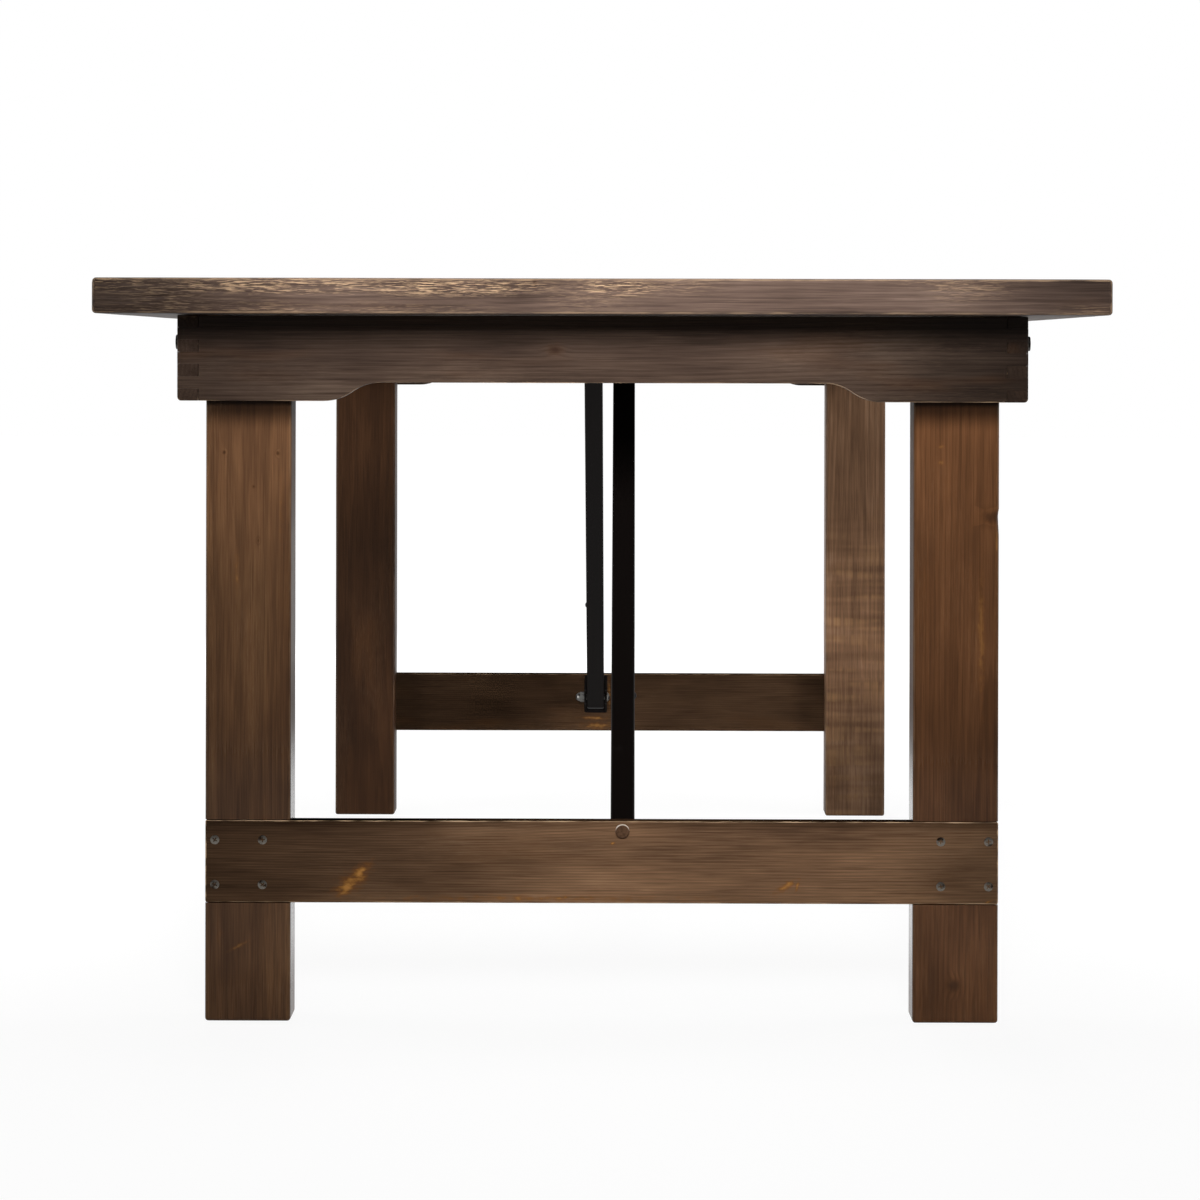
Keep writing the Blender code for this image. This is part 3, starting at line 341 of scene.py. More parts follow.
def node_box(node):
    low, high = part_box(node)
    return Vector(low), Vector(high)


def edge_of(node, axis, way):
    """Where a node's box ends along an axis: its low end for way -1, its high end for way 1."""
    return node_box(node)[way > 0][axis]


def middle_of(node):
    low, high = node_box(node)
    return (low + high) / 2


def others(along):
    """The two axes that follow an axis in turn."""
    return (along + 1) % 3, (along + 2) % 3


# Meshes

def link(name, data):
    obj = bpy.data.objects.new(name, data)
    bpy.context.scene.collection.objects.link(obj)
    return obj


def finished(bm, name):
    mesh = bpy.data.meshes.new(name)
    bm.to_mesh(mesh)
    bm.free()
    return mesh


def skin(bm, rings):
    """Faces between neighbouring rings of vertices, and over the first and the last ring."""
    for near, far in zip(rings, rings[1:]):
        for i in range(len(near)):
            j = (i + 1) % len(near)
            bm.faces.new((near[i], near[j], far[j], far[i]))
    bm.faces.new(reversed(rings[0]))
    bm.faces.new(rings[-1])


def section(span_a, span_b, inset, radii, counts):
    """Points round a rectangle with round corners, each with how much wear its place gets."""
    low_a, high_a = span_a[0] + inset, span_a[1] - inset
    low_b, high_b = span_b[0] + inset, span_b[1] - inset
    corners = ((high_a, high_b, -1, -1), (low_a, high_b, 1, -1), (low_a, low_b, 1, 1), (high_a, low_b, -1, 1))
    arcs = []
    for quarter, (radius, (a, b, inward_a, inward_b)) in enumerate(zip(radii, corners)):
        curve = max(radius - inset, radius / ARRIS_STEPS)
        arc = []
        for step in range(ARRIS_STEPS + 1):
            share = step / ARRIS_STEPS
            angle = (quarter + share) * QUARTER_TURN
            place_a = a + inward_a * curve + curve * math.cos(angle)
            place_b = b + inward_b * curve + curve * math.sin(angle)
            arc.append((place_a, place_b, math.sin(math.pi * share)))
        arcs.append(arc)
    points = []
    for quarter, arc in enumerate(arcs):
        points += arc
        start, stop = arc[-1], arcs[(quarter + 1) % len(arcs)][0]
        run_a, run_b = stop[0] - start[0], stop[1] - start[1]
        count = counts[quarter % 2]
        margin = min(SUPPORT_LIMIT, SUPPORT / math.hypot(run_a, run_b))
        between = [i / count for i in range(1, count) if margin < i / count < 1 - margin]
        for share in (margin, *between, 1 - margin):
            points.append((start[0] + run_a * share, start[1] + run_b * share, 0.0))
    return points


def stations(start, end, radius, spacing, jumps):
    """Places along a board with eased ends: position, how far the section is drawn in there, and wear."""
    eased = []
    for step in range(ARRIS_STEPS + 1):
        turn = QUARTER_TURN * step / ARRIS_STEPS
        eased.append((radius * (1 - math.cos(turn)), radius * (1 - math.sin(turn)), math.sin(2 * turn)))
    run = end - start - 2 * radius
    count = max(2, round(run / spacing))
    inner = [start + radius + run * i / count for i in range(1, count)]
    inner += [start + radius + SUPPORT, end - radius - SUPPORT]
    for jump in jumps:
        inner = [place for place in inner if abs(place - jump) > spacing * JUMP_ROOM]
        inner += [jump - SECTION_JUMP, jump + SECTION_JUMP]
    first = [(start + offset, inset, wear) for offset, inset, wear in eased]
    last = [(end - offset, inset, wear) for offset, inset, wear in reversed(eased)]
    return first + [(place, 0.0, 0.0) for place in sorted(inner)] + last


def loft(name, along, limits, shape, radius, spacing, jumps, corners):
    """A board through rounded sections. shape gives their spans, and corners may give four other radii."""
    a_axis, b_axis = others(along)
    counts = [max(1, round((high - low) / SIDE_SPACING)) for low, high in shape(sum(limits) / 2)]
    bm = bmesh.new()
    edge_layer = bm.verts.layers.float.new("edge")
    rings = []
    for position, inset, end_wear in stations(*limits, radius, spacing, jumps):
        ring = []
        for a, b, wear in section(*shape(position), inset, corners or (radius,) * 4, counts):
            co = Vector()
            co[along], co[a_axis], co[b_axis] = position, a, b
            vert = bm.verts.new(co)
            vert[edge_layer] = max(wear, end_wear)
            ring.append(vert)
        rings.append(ring)
    skin(bm, rings)
    return finished(bm, name)


def weather(mesh, node, dents):
    """Leaves the faces uneven, and knocks chips and dents into the arrises. Nothing grows outward."""
    seed = random.Random(node).uniform(0, SEED_SPAN)
    shift = Vector((seed, seed / 2, -seed))
    wear = [item.value for item in mesh.attributes["edge"].data]
    normals = [vertex.normal.copy() for vertex in mesh.vertices]
    for vertex, normal, worn in zip(mesh.vertices, normals, wear):
        point = vertex.co
        uneven = (1 + noise.noise(point * UNEVEN_SCALE + shift)) / 2
        chip = max(0.0, noise.noise(point * CHIP_SCALE + shift) - CHIP_START)
        depth = UNEVEN_DEPTH * uneven + CHIP_DEPTH * chip * worn
        for centre, radius, deep in dents:
            reach = (point - centre).length / radius
            depth += deep * max(0.0, 1 - reach**2) ** 2
        vertex.co = point - normal * depth


def carve(mesh, boxes):
    """The mesh with boxes cut out of it, each given by its low and high corner."""
    bm = bmesh.new()
    for low, high in boxes:
        place = Matrix.Translation((low + high) / 2) @ Matrix.Diagonal((*(high - low), 1))
        bmesh.ops.create_cube(bm, size=1, matrix=place)
    tool = link("cutter", finished(bm, "cutter"))
    work = link("work", mesh)
    cut = work.modifiers.new("cut", "BOOLEAN")
    cut.operation = "DIFFERENCE"
    cut.object = tool
    graph = bpy.context.evaluated_depsgraph_get()
    carved = bpy.data.meshes.new_from_object(work.evaluated_get(graph))
    for obj in (tool, work):
        used = obj.data
        bpy.data.objects.remove(obj, do_unlink=True)
        bpy.data.meshes.remove(used)
    return carved


def ringed(name, rings):
    """A closed mesh through rings round Z, from the bottom up. A ring gives (radius, height) for an angle."""
    bm = bmesh.new()
    made = []
    for ring in rings:
        verts = []
        for i in range(TURN_SIDES):
            angle = 2 * math.pi * i / TURN_SIDES
            radius, height = ring(angle)
            verts.append(bm.verts.new((radius * math.cos(angle), radius * math.sin(angle), height)))
        made.append(verts)
    skin(bm, made)
    return finished(bm, name)


def circle(radius, height):
    return lambda angle: (radius, height)


def hexagon(across, height, crown=math.inf):
    """A ring of a hexagon. Outside the crown's radius its corners are cut back by a chamfer."""
    def ring(angle):
        turned_by = (angle + SIXTH_TURN / 2) % SIXTH_TURN - SIXTH_TURN / 2
        radius = across / 2 / math.cos(turned_by)
        return radius, height - max(0.0, radius - crown) * math.tan(HEX_CHAMFER)
    return ring


def hex_rings(across, low, high):
    crown = across / 2
    return [hexagon(across, low), hexagon(across, high, crown), circle(crown * HEX_FACE, high)]


def dome_rings(diameter, height, base=0.0):
    """Rings of a domed head from its rim up to a small flat at the crown."""
    radius = diameter / 2
    sphere = (radius**2 + height**2) / (2 * height)
    widest = math.asin(radius / sphere)
    rings = []
    for step in range(DOME_RINGS):
        angle = widest * (1 - step / (DOME_RINGS - 1 + DOME_FLAT))
        rings.append(circle(sphere * math.sin(angle), base + height - sphere * (1 - math.cos(angle))))
    return rings


def button_rings(diameter, height):
    """Rings of a low button head: an upright wall, a narrow bevel and a flat face."""
    outer = diameter / 2 - CARRIAGE_EDGE
    inner = outer - CARRIAGE_BEVEL
    shoulder = height - CARRIAGE_BEVEL * math.tan(CARRIAGE_BEVEL_SLOPE)
    wall = [circle(diameter / 2, 0.0), circle(diameter / 2, shoulder - CARRIAGE_EDGE)]
    return wall + [circle(outer, shoulder), circle(inner, height), circle(inner - CARRIAGE_EDGE, height)]


def pointed(at, direction):
    """Takes a mesh standing on Z to a place, with its top pointing along a direction."""
    return Matrix.Translation(at) @ Vector(direction).to_track_quat("Z", "Y").to_matrix().to_4x4()


def show(name, mesh, material, body, replaced=None):
    """Puts a mesh on the table as a piece that moves with a body."""
    obj = link(name, mesh)
    mesh.materials.clear()
    mesh.materials.append(material)
    mesh.shade_smooth()
    mesh.set_sharp_from_angle(angle=SMOOTH_ANGLE)
    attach(obj, body)
    if replaced:
        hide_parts(replaced)


# Shader nodes

class Shader:
    """Adds nodes to a tree with short calls that return the socket of the result."""

    def __init__(self, tree):
        self.tree = tree

    def node(self, kind, inputs=None, **settings):
        made = self.tree.nodes.new(kind)
        for key, value in settings.items():
            setattr(made, key, value)
        for key, value in (inputs or {}).items():
            self.feed(made.inputs[key], value)
        return made

    def feed(self, socket, value):
        if isinstance(value, bpy.types.NodeSocket):
            self.tree.links.new(value, socket)
        else:
            socket.default_value = value

    def math(self, operation, a, b=0.0, c=0.0):
        return self.node("ShaderNodeMath", {0: a, 1: b, 2: c}, operation=operation).outputs[0]

    def plus(self, a, b):
        return self.math("ADD", a, b)

    def minus(self, a, b):
        return self.math("SUBTRACT", a, b)

    def times(self, a, b):
        return self.math("MULTIPLY", a, b)

    def vector(self, operation, a, b=(0.0, 0.0, 0.0)):
        made = self.node("ShaderNodeVectorMath", {0: a, 1: b}, operation=operation)
        return made.outputs["Value" if operation in ("DOT_PRODUCT", "LENGTH") else "Vector"]

    def split(self, vector):
        return self.node("ShaderNodeSeparateXYZ", {0: vector}).outputs

    def noise(self, point, along, across, detail, roughness=0.5, output="Fac"):
        scaled = self.vector("MULTIPLY", point, (along, across, across))
        settings = {"Vector": scaled, "Scale": 1.0, "Detail": detail, "Roughness": roughness}
        return self.node("ShaderNodeTexNoise", settings).outputs[output]

    def centred(self, value):
        return self.minus(value, NOISE_MIDDLE)

    def shaken(self, point, drift, amount):
        """The point, moved a little across the grain by noise."""
        shake = self.vector("SUBTRACT", self.noise(point, *drift, output="Color"), (NOISE_MIDDLE,) * 3)
        return self.vector("ADD", point, self.vector("MULTIPLY", shake, (0.0, amount, amount)))

    def rise(self, value, low, high, end=1.0):
        """Goes smoothly from 0 to the end value as the input goes from low to high."""
        settings = {"Value": value, "From Min": low, "From Max": high, "To Max": end}
        return self.node("ShaderNodeMapRange", settings, interpolation_type="SMOOTHSTEP").outputs["Result"]

    def patches(self, point, scales, step):
        return self.rise(self.noise(point, *scales), *step)

    def blend(self, factor, a, b):
        made = self.node("ShaderNodeMix", data_type="RGBA")
        for name, value in (("Factor_Float", factor), ("A_Color", a), ("B_Color", b)):
            self.feed(next(s for s in made.inputs if s.identifier == name), value)
        return next(s for s in made.outputs if s.identifier == "Result_Color")


def new_material(name):
    """A material, the maker of its nodes, and the inputs of its surface."""
    material = bpy.data.materials.new(name)
    material.use_nodes = True
    return material, Shader(material.node_tree), material.node_tree.nodes["Principled BSDF"].inputs


def surface(s, sockets, colour, rough, height, bump, relief, gloss):
    bumps = s.node("ShaderNodeBump", {"Height": height, "Strength": bump, "Distance": relief})
    for name, value in (("Base Color", colour), ("Roughness", rough), ("Normal", bumps.outputs["Normal"])):
        s.feed(sockets[name], value)
    sockets["Specular IOR Level"].default_value = gloss


def stained_pine():
    """Node group for brushed pine in a dark stain. Point has the grain along X and the pith at its middle."""
    group = bpy.data.node_groups.new("stained_pine", "ShaderNodeTree")
    numbers = ("Ring width", "Cloud", "Streak", "Brushing", "Wear", "Figure", "Shade", "Edge", "End grain",
               "Knot", "Amber", "Amber depth", "Brush")
    sockets = (("INPUT", "Vector", ("Point",)), ("INPUT", "Color", STAIN_LAYERS), ("INPUT", "Float", numbers),
               ("OUTPUT", "Color", ("Colour",)), ("OUTPUT", "Float", ("Roughness", "Height")))
    for way, kind, names in sockets:
        for name in names:
            group.interface.new_socket(name, in_out=way, socket_type="NodeSocket" + kind)
    s = Shader(group)
    given = s.node("NodeGroupInput").outputs
    point = given["Point"]

    # Growth rings, bent by slow noise and pushed aside by a knot
    bent = s.shaken(point, RING_DRIFT, RING_SHAKE)
    radius = s.vector("LENGTH", s.vector("MULTIPLY", bent, (0.0, 1.0, 1.0)))
    swirl = s.rise(given["Knot"], *KNOT_SWIRL)
    ragged = s.times(s.noise(point, *RING_RAGS), RAG_GAIN)
    turns = s.plus(s.math("DIVIDE", s.plus(radius, swirl), given["Ring width"]), ragged)
    ring = s.math("FRACT", turns)
    late = s.times(s.rise(ring, *LATE_WOOD), s.rise(ring, *RING_END))

    # Fibres, streaks, clouds and waves of stain, and pores
    fibre = s.noise(point, *FIBRE)
    layers = ((fibre, FIBRE_GAIN), (s.noise(point, *STREAK), given["Streak"]),
              (s.noise(point, *CLOUD), given["Cloud"]), (s.noise(point, *WAVES), given["Figure"]))
    body = NOISE_MIDDLE
    for layer, gain in layers:
        body = s.plus(body, s.times(s.centred(layer), gain))
    colour = s.blend(s.rise(body, *MIDDLE_STEP), given["Dark"], given["Middle"])
    colour = s.blend(s.rise(body, *LIGHT_STEP), colour, given["Light"])
    colour = s.blend(s.times(late, LATE_GAIN), colour, given["Dark"])
    colour = s.blend(s.patches(point, *PORES), colour, given["Dark"])

    # Figure: pale bars across the grain, broken into threads
    bars = s.patches(point, *BARS)
    threads = s.patches(point, *THREADS)
    colour = s.blend(s.times(s.times(bars, threads), given["Figure"]), colour, tone(FIGURE_GOLD))
    # Shade darkens towards black; part of it is painted shade and painted shadow
    colour = s.blend(given["Shade"], colour, BLACK)

    # Thin stain lets the wood's own amber through
    thin = s.patches(point, *THIN_STAIN)
    colour = s.blend(s.times(thin, THIN_GAIN), colour, tone(STAIN_AMBER))
    uneven = s.times(s.centred(s.noise(point, *BLOTCHES)), BLOTCH_GAIN)
    amber = s.plus(given["Amber"], uneven)
    for step, shown in ((AMBER_STEP, STAIN_AMBER), (AMBER_CORE_STEP, AMBER_CORE)):
        colour = s.blend(s.times(s.rise(amber, *step), given["Amber depth"]), colour, tone(shown))

    # Knots: a soft dark heart with a faint amber halo
    blot = s.plus(given["Knot"], uneven)
    for step, shown in ((KNOT_HALO_STEP, STAIN_AMBER), (KNOT_STEP, KNOT_BROWN)):
        colour = s.blend(s.rise(blot, *step), colour, tone(shown))

    # Wire brushing leaves short pale dashes, and handling leaves pale arrises; on the front stretcher these
    # are also a painted highlight
    dash = s.patches(s.shaken(point, DASH_DRIFT, DASH_SHAKE), *DASHES)
    where = s.patches(point, *BRUSHED_AREAS)
    where = s.math("MAXIMUM", where, s.rise(given["Brush"], *PATCH_STEP))
    brushed = s.math("MINIMUM", s.times(s.times(dash, where), given["Brushing"]), 1.0)
    rough_edge = s.plus(given["Edge"], s.minus(s.noise(point, *EDGE_RUBS), EDGE_LEVEL))
    worn = s.times(s.rise(rough_edge, *EDGE_STEP), given["Wear"])
    for bare in (brushed, worn):
        colour = s.blend(bare, colour, tone(BARE_WOOD))

    # End grain drinks more stain
    colour = s.blend(s.times(given["End grain"], END_GRAIN_GAIN), colour, tone(KNOT_BROWN))

    rough = s.plus(s.times(s.plus(fibre, s.plus(worn, brushed)), ROUGHNESS_GAIN), LEAST_ROUGHNESS)
    height = s.plus(s.times(fibre, FIBRE_RELIEF), s.times(late, LATE_RELIEF))
    height = s.minus(height, s.times(brushed, BRUSHED_RELIEF))
    s.node("NodeGroupOutput", {"Colour": colour, "Roughness": rough, "Height": height})
    return group


PINE_GROUP = stained_pine()


def spots(s, position, places):
    """How far away the nearest spot is. Each is a centre, two axes over half-sizes, and faintness."""
    nearest = None
    for centre, axes, faint in places:
        offset = s.vector("SUBTRACT", position, centre)
        first, second = [s.vector("DOT_PRODUCT", offset, axis) for axis in axes]
        reach = s.plus(s.math("SQRT", s.math("MULTIPLY_ADD", first, first, s.times(second, second))), faint)
        nearest = reach if nearest is None else s.math("SMOOTH_MIN", nearest, reach, SPOT_MELT)
    return NO_SPOT if nearest is None else nearest


def marks(node, places, faint=0.0):
    """Spots on the front face of a board."""
    found = []
    for x, z, long, short, slant in places:
        turn = math.radians(slant)
        lengthwise = Vector((math.cos(turn), 0, math.sin(turn)))
        crosswise = Vector((-math.sin(turn), 0, math.cos(turn)))
        found.append(((x, edge_of(node, Y, -1), z), (lengthwise / long, crosswise / short), faint))
    return found


def pine(node, along, stain=WARM_STAIN, depth=1.0, ring=0.0045, cloud=1.4, streak=0.45, brushing=0.05,
         wear=0.2, figure=0.0, shades=(), seam_shade=0.0, top_shade=0.0, polish=(), knots=(), ambers=(),
         amber_depth=0.75, brushes=(), gloss=WOOD_GLOSS, bump=0.3):
    """A board's wood, with any painted shade it is given: its grain runs along one axis, round a pith away
    from the board's middle.
    """
    material, s, sockets = new_material(node + "_pine")
    chance = random.Random(node)
    aside, away = others(along)
    pith = middle_of(node)
    pith[aside] += chance.uniform(-PITH_ASIDE, PITH_ASIDE)
    pith[away] += chance.choice((-1, 1)) * chance.uniform(*PITH_AWAY)
    pith[along] += chance.uniform(-PITH_ALONG, PITH_ALONG)
    coordinates = s.node("ShaderNodeTexCoord").outputs
    position, normal = coordinates["Object"], coordinates["Normal"]
    apart = s.split(s.vector("SUBTRACT", position, pith))
    turned_axes = {i: apart[axis] for i, axis in enumerate((along, aside, away))}
    point = s.node("ShaderNodeCombineXYZ", turned_axes).outputs[0]
    facing = s.math("ABSOLUTE", s.vector("DOT_PRODUCT", normal, AXES[along]))
    edge = s.node("ShaderNodeAttribute", attribute_name="edge").outputs["Fac"]
    place = s.split(position)
    shade = 0.0
    for axis, start, full, darkness in shades:
        darker = s.rise(place[axis], start, full, darkness)
        shade = s.math("MULTIPLY_ADD", s.minus(1.0, shade), darker, shade)
    if seam_shade:
        shade = s.plus(s.times(edge, seam_shade), shade)
    # Painted shade: faces that look upwards are darkened
    if top_shade:
        upward = s.vector("DOT_PRODUCT", normal, AXES[Z])
        shade = s.plus(s.rise(upward, *FACING_UP, top_shade), shade)
    if figure:
        figure = s.rise(place[Z], *FIGURE_HEIGHTS, figure)
    settings = {"Point": point, "Ring width": ring, "Cloud": cloud, "Streak": streak, "Brushing": brushing,
                "Wear": wear, "Figure": figure, "Shade": shade, "Edge": edge, "Amber depth": amber_depth,
                "End grain": s.rise(facing, *FACING_END), "Knot": spots(s, position, knots),
                "Amber": spots(s, position, ambers), "Brush": spots(s, position, brushes)}
    for name, colour in zip(STAIN_LAYERS, stain):
        settings[name] = (*[level * depth for level in tone(colour)[:3]], 1.0)
    wood = s.node("ShaderNodeGroup", settings, node_tree=PINE_GROUP).outputs
    rough = wood["Roughness"]
    for axis, start, full, smoother in polish:
        rough = s.minus(rough, s.rise(place[axis], start, full, smoother))
    surface(s, sockets, wood["Colour"], rough, wood["Height"], bump, WOOD_RELIEF, gloss)
    return material


def finish(name, paint, texture, rough, bump, gloss=PLAIN_GLOSS, metallic=0.0):
    """A surface whose fine texture shows in its roughness and relief. paint gives its colour."""
    material, s, sockets = new_material(name)
    position = s.node("ShaderNodeTexCoord").outputs["Object"]
    fine = s.noise(position, *texture)
    least, gain = rough
    roughness = s.plus(s.times(fine, gain), least)
    surface(s, sockets, paint(s, position, fine), roughness, fine, bump, FINE_RELIEF, gloss)
    sockets["Metallic"].default_value = metallic
    return material


def speckled(name, colour, patches, **texture):
    """Powder coat or moulded plastic, rubbed or dusty in places."""
    def paint(s, position, fine):
        return s.blend(s.patches(position, *patches), tone(colour), tone(POWDER_WORN))
    return finish(name, paint, **texture)


def zinc(name, bright, dull, tarnish):
    def paint(s, position, spangle):
        cloudy = s.patches(position, *TARNISH)
        return s.blend(s.times(s.plus(cloudy, s.centred(spangle)), tarnish), tone(bright), tone(dull))
    return finish(name, paint, **ZINC_PLATE)


def lacquered(name, middle):
    """A bolt head that was stained over with its board, with a highlight painted on the upper half of its
    bevel.
    """
    bevel = CARRIAGE_HEAD_DIAMETER / 2 - CARRIAGE_EDGE - CARRIAGE_BEVEL

    def paint(s, position, smear):
        stained = s.blend(s.rise(smear, *SMEAR_STEP), tone(BOLT_BROWN), tone(KNOT_BROWN))
        offset = s.vector("MULTIPLY", s.vector("SUBTRACT", position, middle), (1.0, 0.0, 1.0))
        # Painted highlight: the upper half of the bevel ring is painted bright steel
        rubbed = s.rise(s.vector("LENGTH", offset), bevel + CARRIAGE_EDGE, bevel + CARRIAGE_BEVEL)
        rim = s.times(rubbed, s.rise(s.split(offset)["Z"], 0.0, bevel))
        return s.blend(rim, stained, tone(PAINTED_HIGHLIGHT_STEEL))
    return finish(name, paint, **STAINED_HEAD)


# Boards

def board(node, along, limits, shape, body, slot, radius, spacing, jumps=(), corners=(), dents=(), sockets=(),
          **look):
    """A worn board that stands for a CAD node. Sockets are boxes cut out of it."""
    mesh = loft(node, along, limits, shape, radius, spacing, jumps, corners)
    weather(mesh, node, dents)
    if sockets:
        mesh = carve(mesh, sockets)
    show(node + "_board", mesh, pine(node, along, **look), body, node)


def plain_board(node, along, body, slot, radius, spacing, **look):
    """A straight board of the same size as its CAD node."""
    low, high = node_box(node)
    spans = [(low[axis], high[axis]) for axis in others(along)]
    board(node, along, (low[along], high[along]), lambda position: spans, body, slot, radius, spacing, **look)


def make_plank(node, **look):
    """A plank of the top. Its tongues are out of sight, so it stops at the seams."""
    low, high = node_box(node)
    half = edge_of("front_breadboard", X, 1)
    starts = [edge_of(plank, X, -1) for plank in PLANKS]
    right = min([start for start in starts if start > low.x + SIDE_SPACING] + [high.x])
    right_round = TOP_ROUND if right > half - SIDE_SPACING else SEAM_ROUND
    left_round = TOP_ROUND if low.x < SIDE_SPACING - half else SEAM_ROUND
    ends = [edge_of(f"{end}_breadboard", Y, -way) for end, way in ENDS.items()]
    spans = ((low.z, high.z), (low.x, right))
    board(node, Y, ends, lambda position: spans, "table", "stained_pine_top", SEAM_ROUND, LONG_SPACING,
          corners=(right_round, right_round, left_round, left_round), **look)


def make_top():
    for node in PLANKS:
        chance = random.Random(node)
        low, high = node_box(node)
        knots = []
        for _ in range(PLANK_KNOTS):
            radius = chance.uniform(*PLANK_KNOT_RADIUS)
            place = (chance.uniform(low.x, high.x), chance.uniform(low.y, high.y), high.z)
            stretch = chance.uniform(*PLANK_KNOT_STRETCH)
            knots.append((place, (AXES[X] / radius, AXES[Y] / (radius * stretch)), 0.0))
        make_plank(node, stain=GREY_STAIN, depth=chance.uniform(*PLANK_DEPTH), ring=0.010, cloud=0.5,
                   streak=1.2, brushing=0.35, wear=0.1, seam_shade=0.7, knots=knots, bump=0.45)
    for end, way in ENDS.items():
        node = f"{end}_breadboard"
        face, top = edge_of(node, Y, way), edge_of(node, Z, 1)
        brushes = [((x, face, top - down), (AXES[X] / length, AXES[Z] / tall), 0.0)
                   for x, down, length, tall in BRUSHED_PATCHES]
        nicks = marks(node, TOP_NICKS) if end == "front" else ()
        plain_board(node, X, "table", "stained_pine_top", TOP_ROUND, FINE_SPACING, stain=ASH_STAIN,
                    depth=1.33, brushing=0.75, brushes=brushes, shades=TOP_SHADES, knots=nicks, wear=0.32,
                    bump=0.5)


def arch_rise(across, half_width):
    """How far an end apron's lower edge rises at a distance from its middle: shoulder, ogee, arch."""
    inward = min(max(half_width - ARCH_SHOULDER - abs(across), 0.0), ARCH_OGEE_RUN)
    turn = 2 * math.atan2(ARCH_RISE, ARCH_OGEE_RUN)
    radius = ARCH_OGEE_RUN / 2 / math.sin(turn)
    bend = radius - math.sqrt(radius**2 - min(inward, ARCH_OGEE_RUN - inward) ** 2)
    return bend if inward <= ARCH_OGEE_RUN / 2 else ARCH_RISE - bend


def finger_sockets(low, high, along, first):
    """Every second socket of an apron's finger joints, counted from the top down."""
    across = Y if along == X else X
    thick = high[across] - low[across]
    step = (high.z - low.z) / FINGER_COUNT
    boxes = []
    for corner, way in ((low[along], -1), (high[along], 1)):
        near, far = sorted((corner - way * (thick + TIGHT_GAP), corner + way * thick))
        for i in range(first, FINGER_COUNT, 2):
            upper = high.z - i * step + (TIGHT_GAP / 2 if i else step)
            lower = high.z - (i + 1) * step - (TIGHT_GAP / 2 if i < FINGER_COUNT - 1 else step)
            box_low, box_high = Vector((0, 0, lower)), Vector((0, 0, upper))
            box_low[along], box_high[along] = near, far
            box_low[across], box_high[across] = low[across] - thick, high[across] + thick
            boxes.append((box_low, box_high))
    return boxes


def make_end_apron(end, **look):
    node = f"{end}_end_apron"
    low, high = node_box(node)
    half = edge_of("right_side_apron", X, 1)
    low.x, high.x = -half, half

    def shape(across):
        return (low.y, high.y), (low.z + arch_rise(across, half), high.z)

    board(node, X, (-half, half), shape, "table", "stained_pine_apron", APRON_ROUND, FINE_SPACING / 2,
          sockets=finger_sockets(low, high, X, 0), stain=GREY_STAIN, wear=0.6, shades=APRON_SHADES, **look)


def make_side_apron(side, **look):
    node = f"{side}_side_apron"
    low, high = node_box(node)
    spans = ((low.z, high.z), (low.x, high.x))
    rounds = (APRON_ROUND, APRON_CORNER_ROUND, APRON_ROUND, APRON_ROUND)
    corners = rounds if side == "right" else rounds[::-1]
    board(node, Y, (low.y, high.y), lambda position: spans, "table", "stained_pine_apron", APRON_ROUND,
          LONG_SPACING, corners=corners, sockets=finger_sockets(low, high, Y, 1), stain=GREY_STAIN, **look)


def make_leg(end, side, **look):
    """A leg with a notch for its stretcher and a top that is round about its pivot."""
    node = f"{end}_{side}_leg"
    outward = ENDS[end]
    low, high = node_box(node)
    rail_low, rail_high = node_box(f"{end}_stretcher")
    inner_radius = high.y - low.y - LEG_SETBACK
    pivot_z = high.z - inner_radius
    outer_y = edge_of(node, Y, outward)
    pivot_y = outer_y - outward * LEG_SETBACK
    notch = (rail_low.z - FINGER_GAP, rail_high.z + FINGER_GAP)
    notch_depth = rail_high.y - rail_low.y + FINGER_GAP

    def shape(height):
        above = max(0.0, height - pivot_z)
        outer = pivot_y + outward * math.sqrt(LEG_SETBACK**2 - above**2)
        inner = pivot_y - outward * math.sqrt(max(0.0, inner_radius**2 - above**2))
        if notch[0] < height < notch[1]:
            outer = outer_y - outward * notch_depth
        return (low.x, high.x), tuple(sorted((outer, inner)))

    board(node, Z, (low.z, high.z), shape, f"{end}_leg_frame", "stained_pine_frame", LEG_ROUND, FINE_SPACING,
          jumps=notch, wear=0.08, **look)


def make_stretcher(end, **look):
    # Its upward faces get a painted shade
    plain_board(f"{end}_stretcher", X, f"{end}_leg_frame", "stained_pine_frame", STRETCHER_ROUND,
                FINE_SPACING, stain=BROWN_STAIN, ring=0.0030, streak=0.3, gloss=0.0, top_shade=0.3, **look)


def make_hidden_boards():
    nodes = [f"{end}_{kind}" for end in ENDS for kind in ("ledger", "cleat")]
    for node in nodes + [f"{side}_middle_batten" for side in SIDES]:
        plain_board(node, X, "table", "stained_pine_hidden", HIDDEN_ROUND, LONG_SPACING, depth=0.85)


# Fasteners

def screw_mesh():
    """A countersunk screw's head with a cross recess, flush at height 0."""
    radius = SCREW_DIAMETER / 2
    rings = [circle(radius * SCREW_TAPER, -SCREW_DEPTH), circle(radius, -SCREW_DOME)]
    mesh = ringed("screw_head", rings + dome_rings(SCREW_DIAMETER, SCREW_DOME))
    for corner in (SCREW_RECESS_ARM, SCREW_RECESS_ARM.yxz):
        mesh = carve(mesh, [(-corner, corner)])
    return mesh


SCREW = screw_mesh()


def screws(node, places, direction, material, body="table"):
    """Screw heads at some places on a node, each turned its own way."""
    name = f"{node}_screws"
    chance = random.Random(name)
    bm = bmesh.new()
    for place in places:
        turn = Matrix.Rotation(chance.uniform(0, math.pi), 4, "Z")
        copy = SCREW.copy()
        copy.transform(pointed(place, direction) @ turn)
        bm.from_mesh(copy)
        bpy.data.meshes.remove(copy)
    show(name, finished(bm, name), material, body)


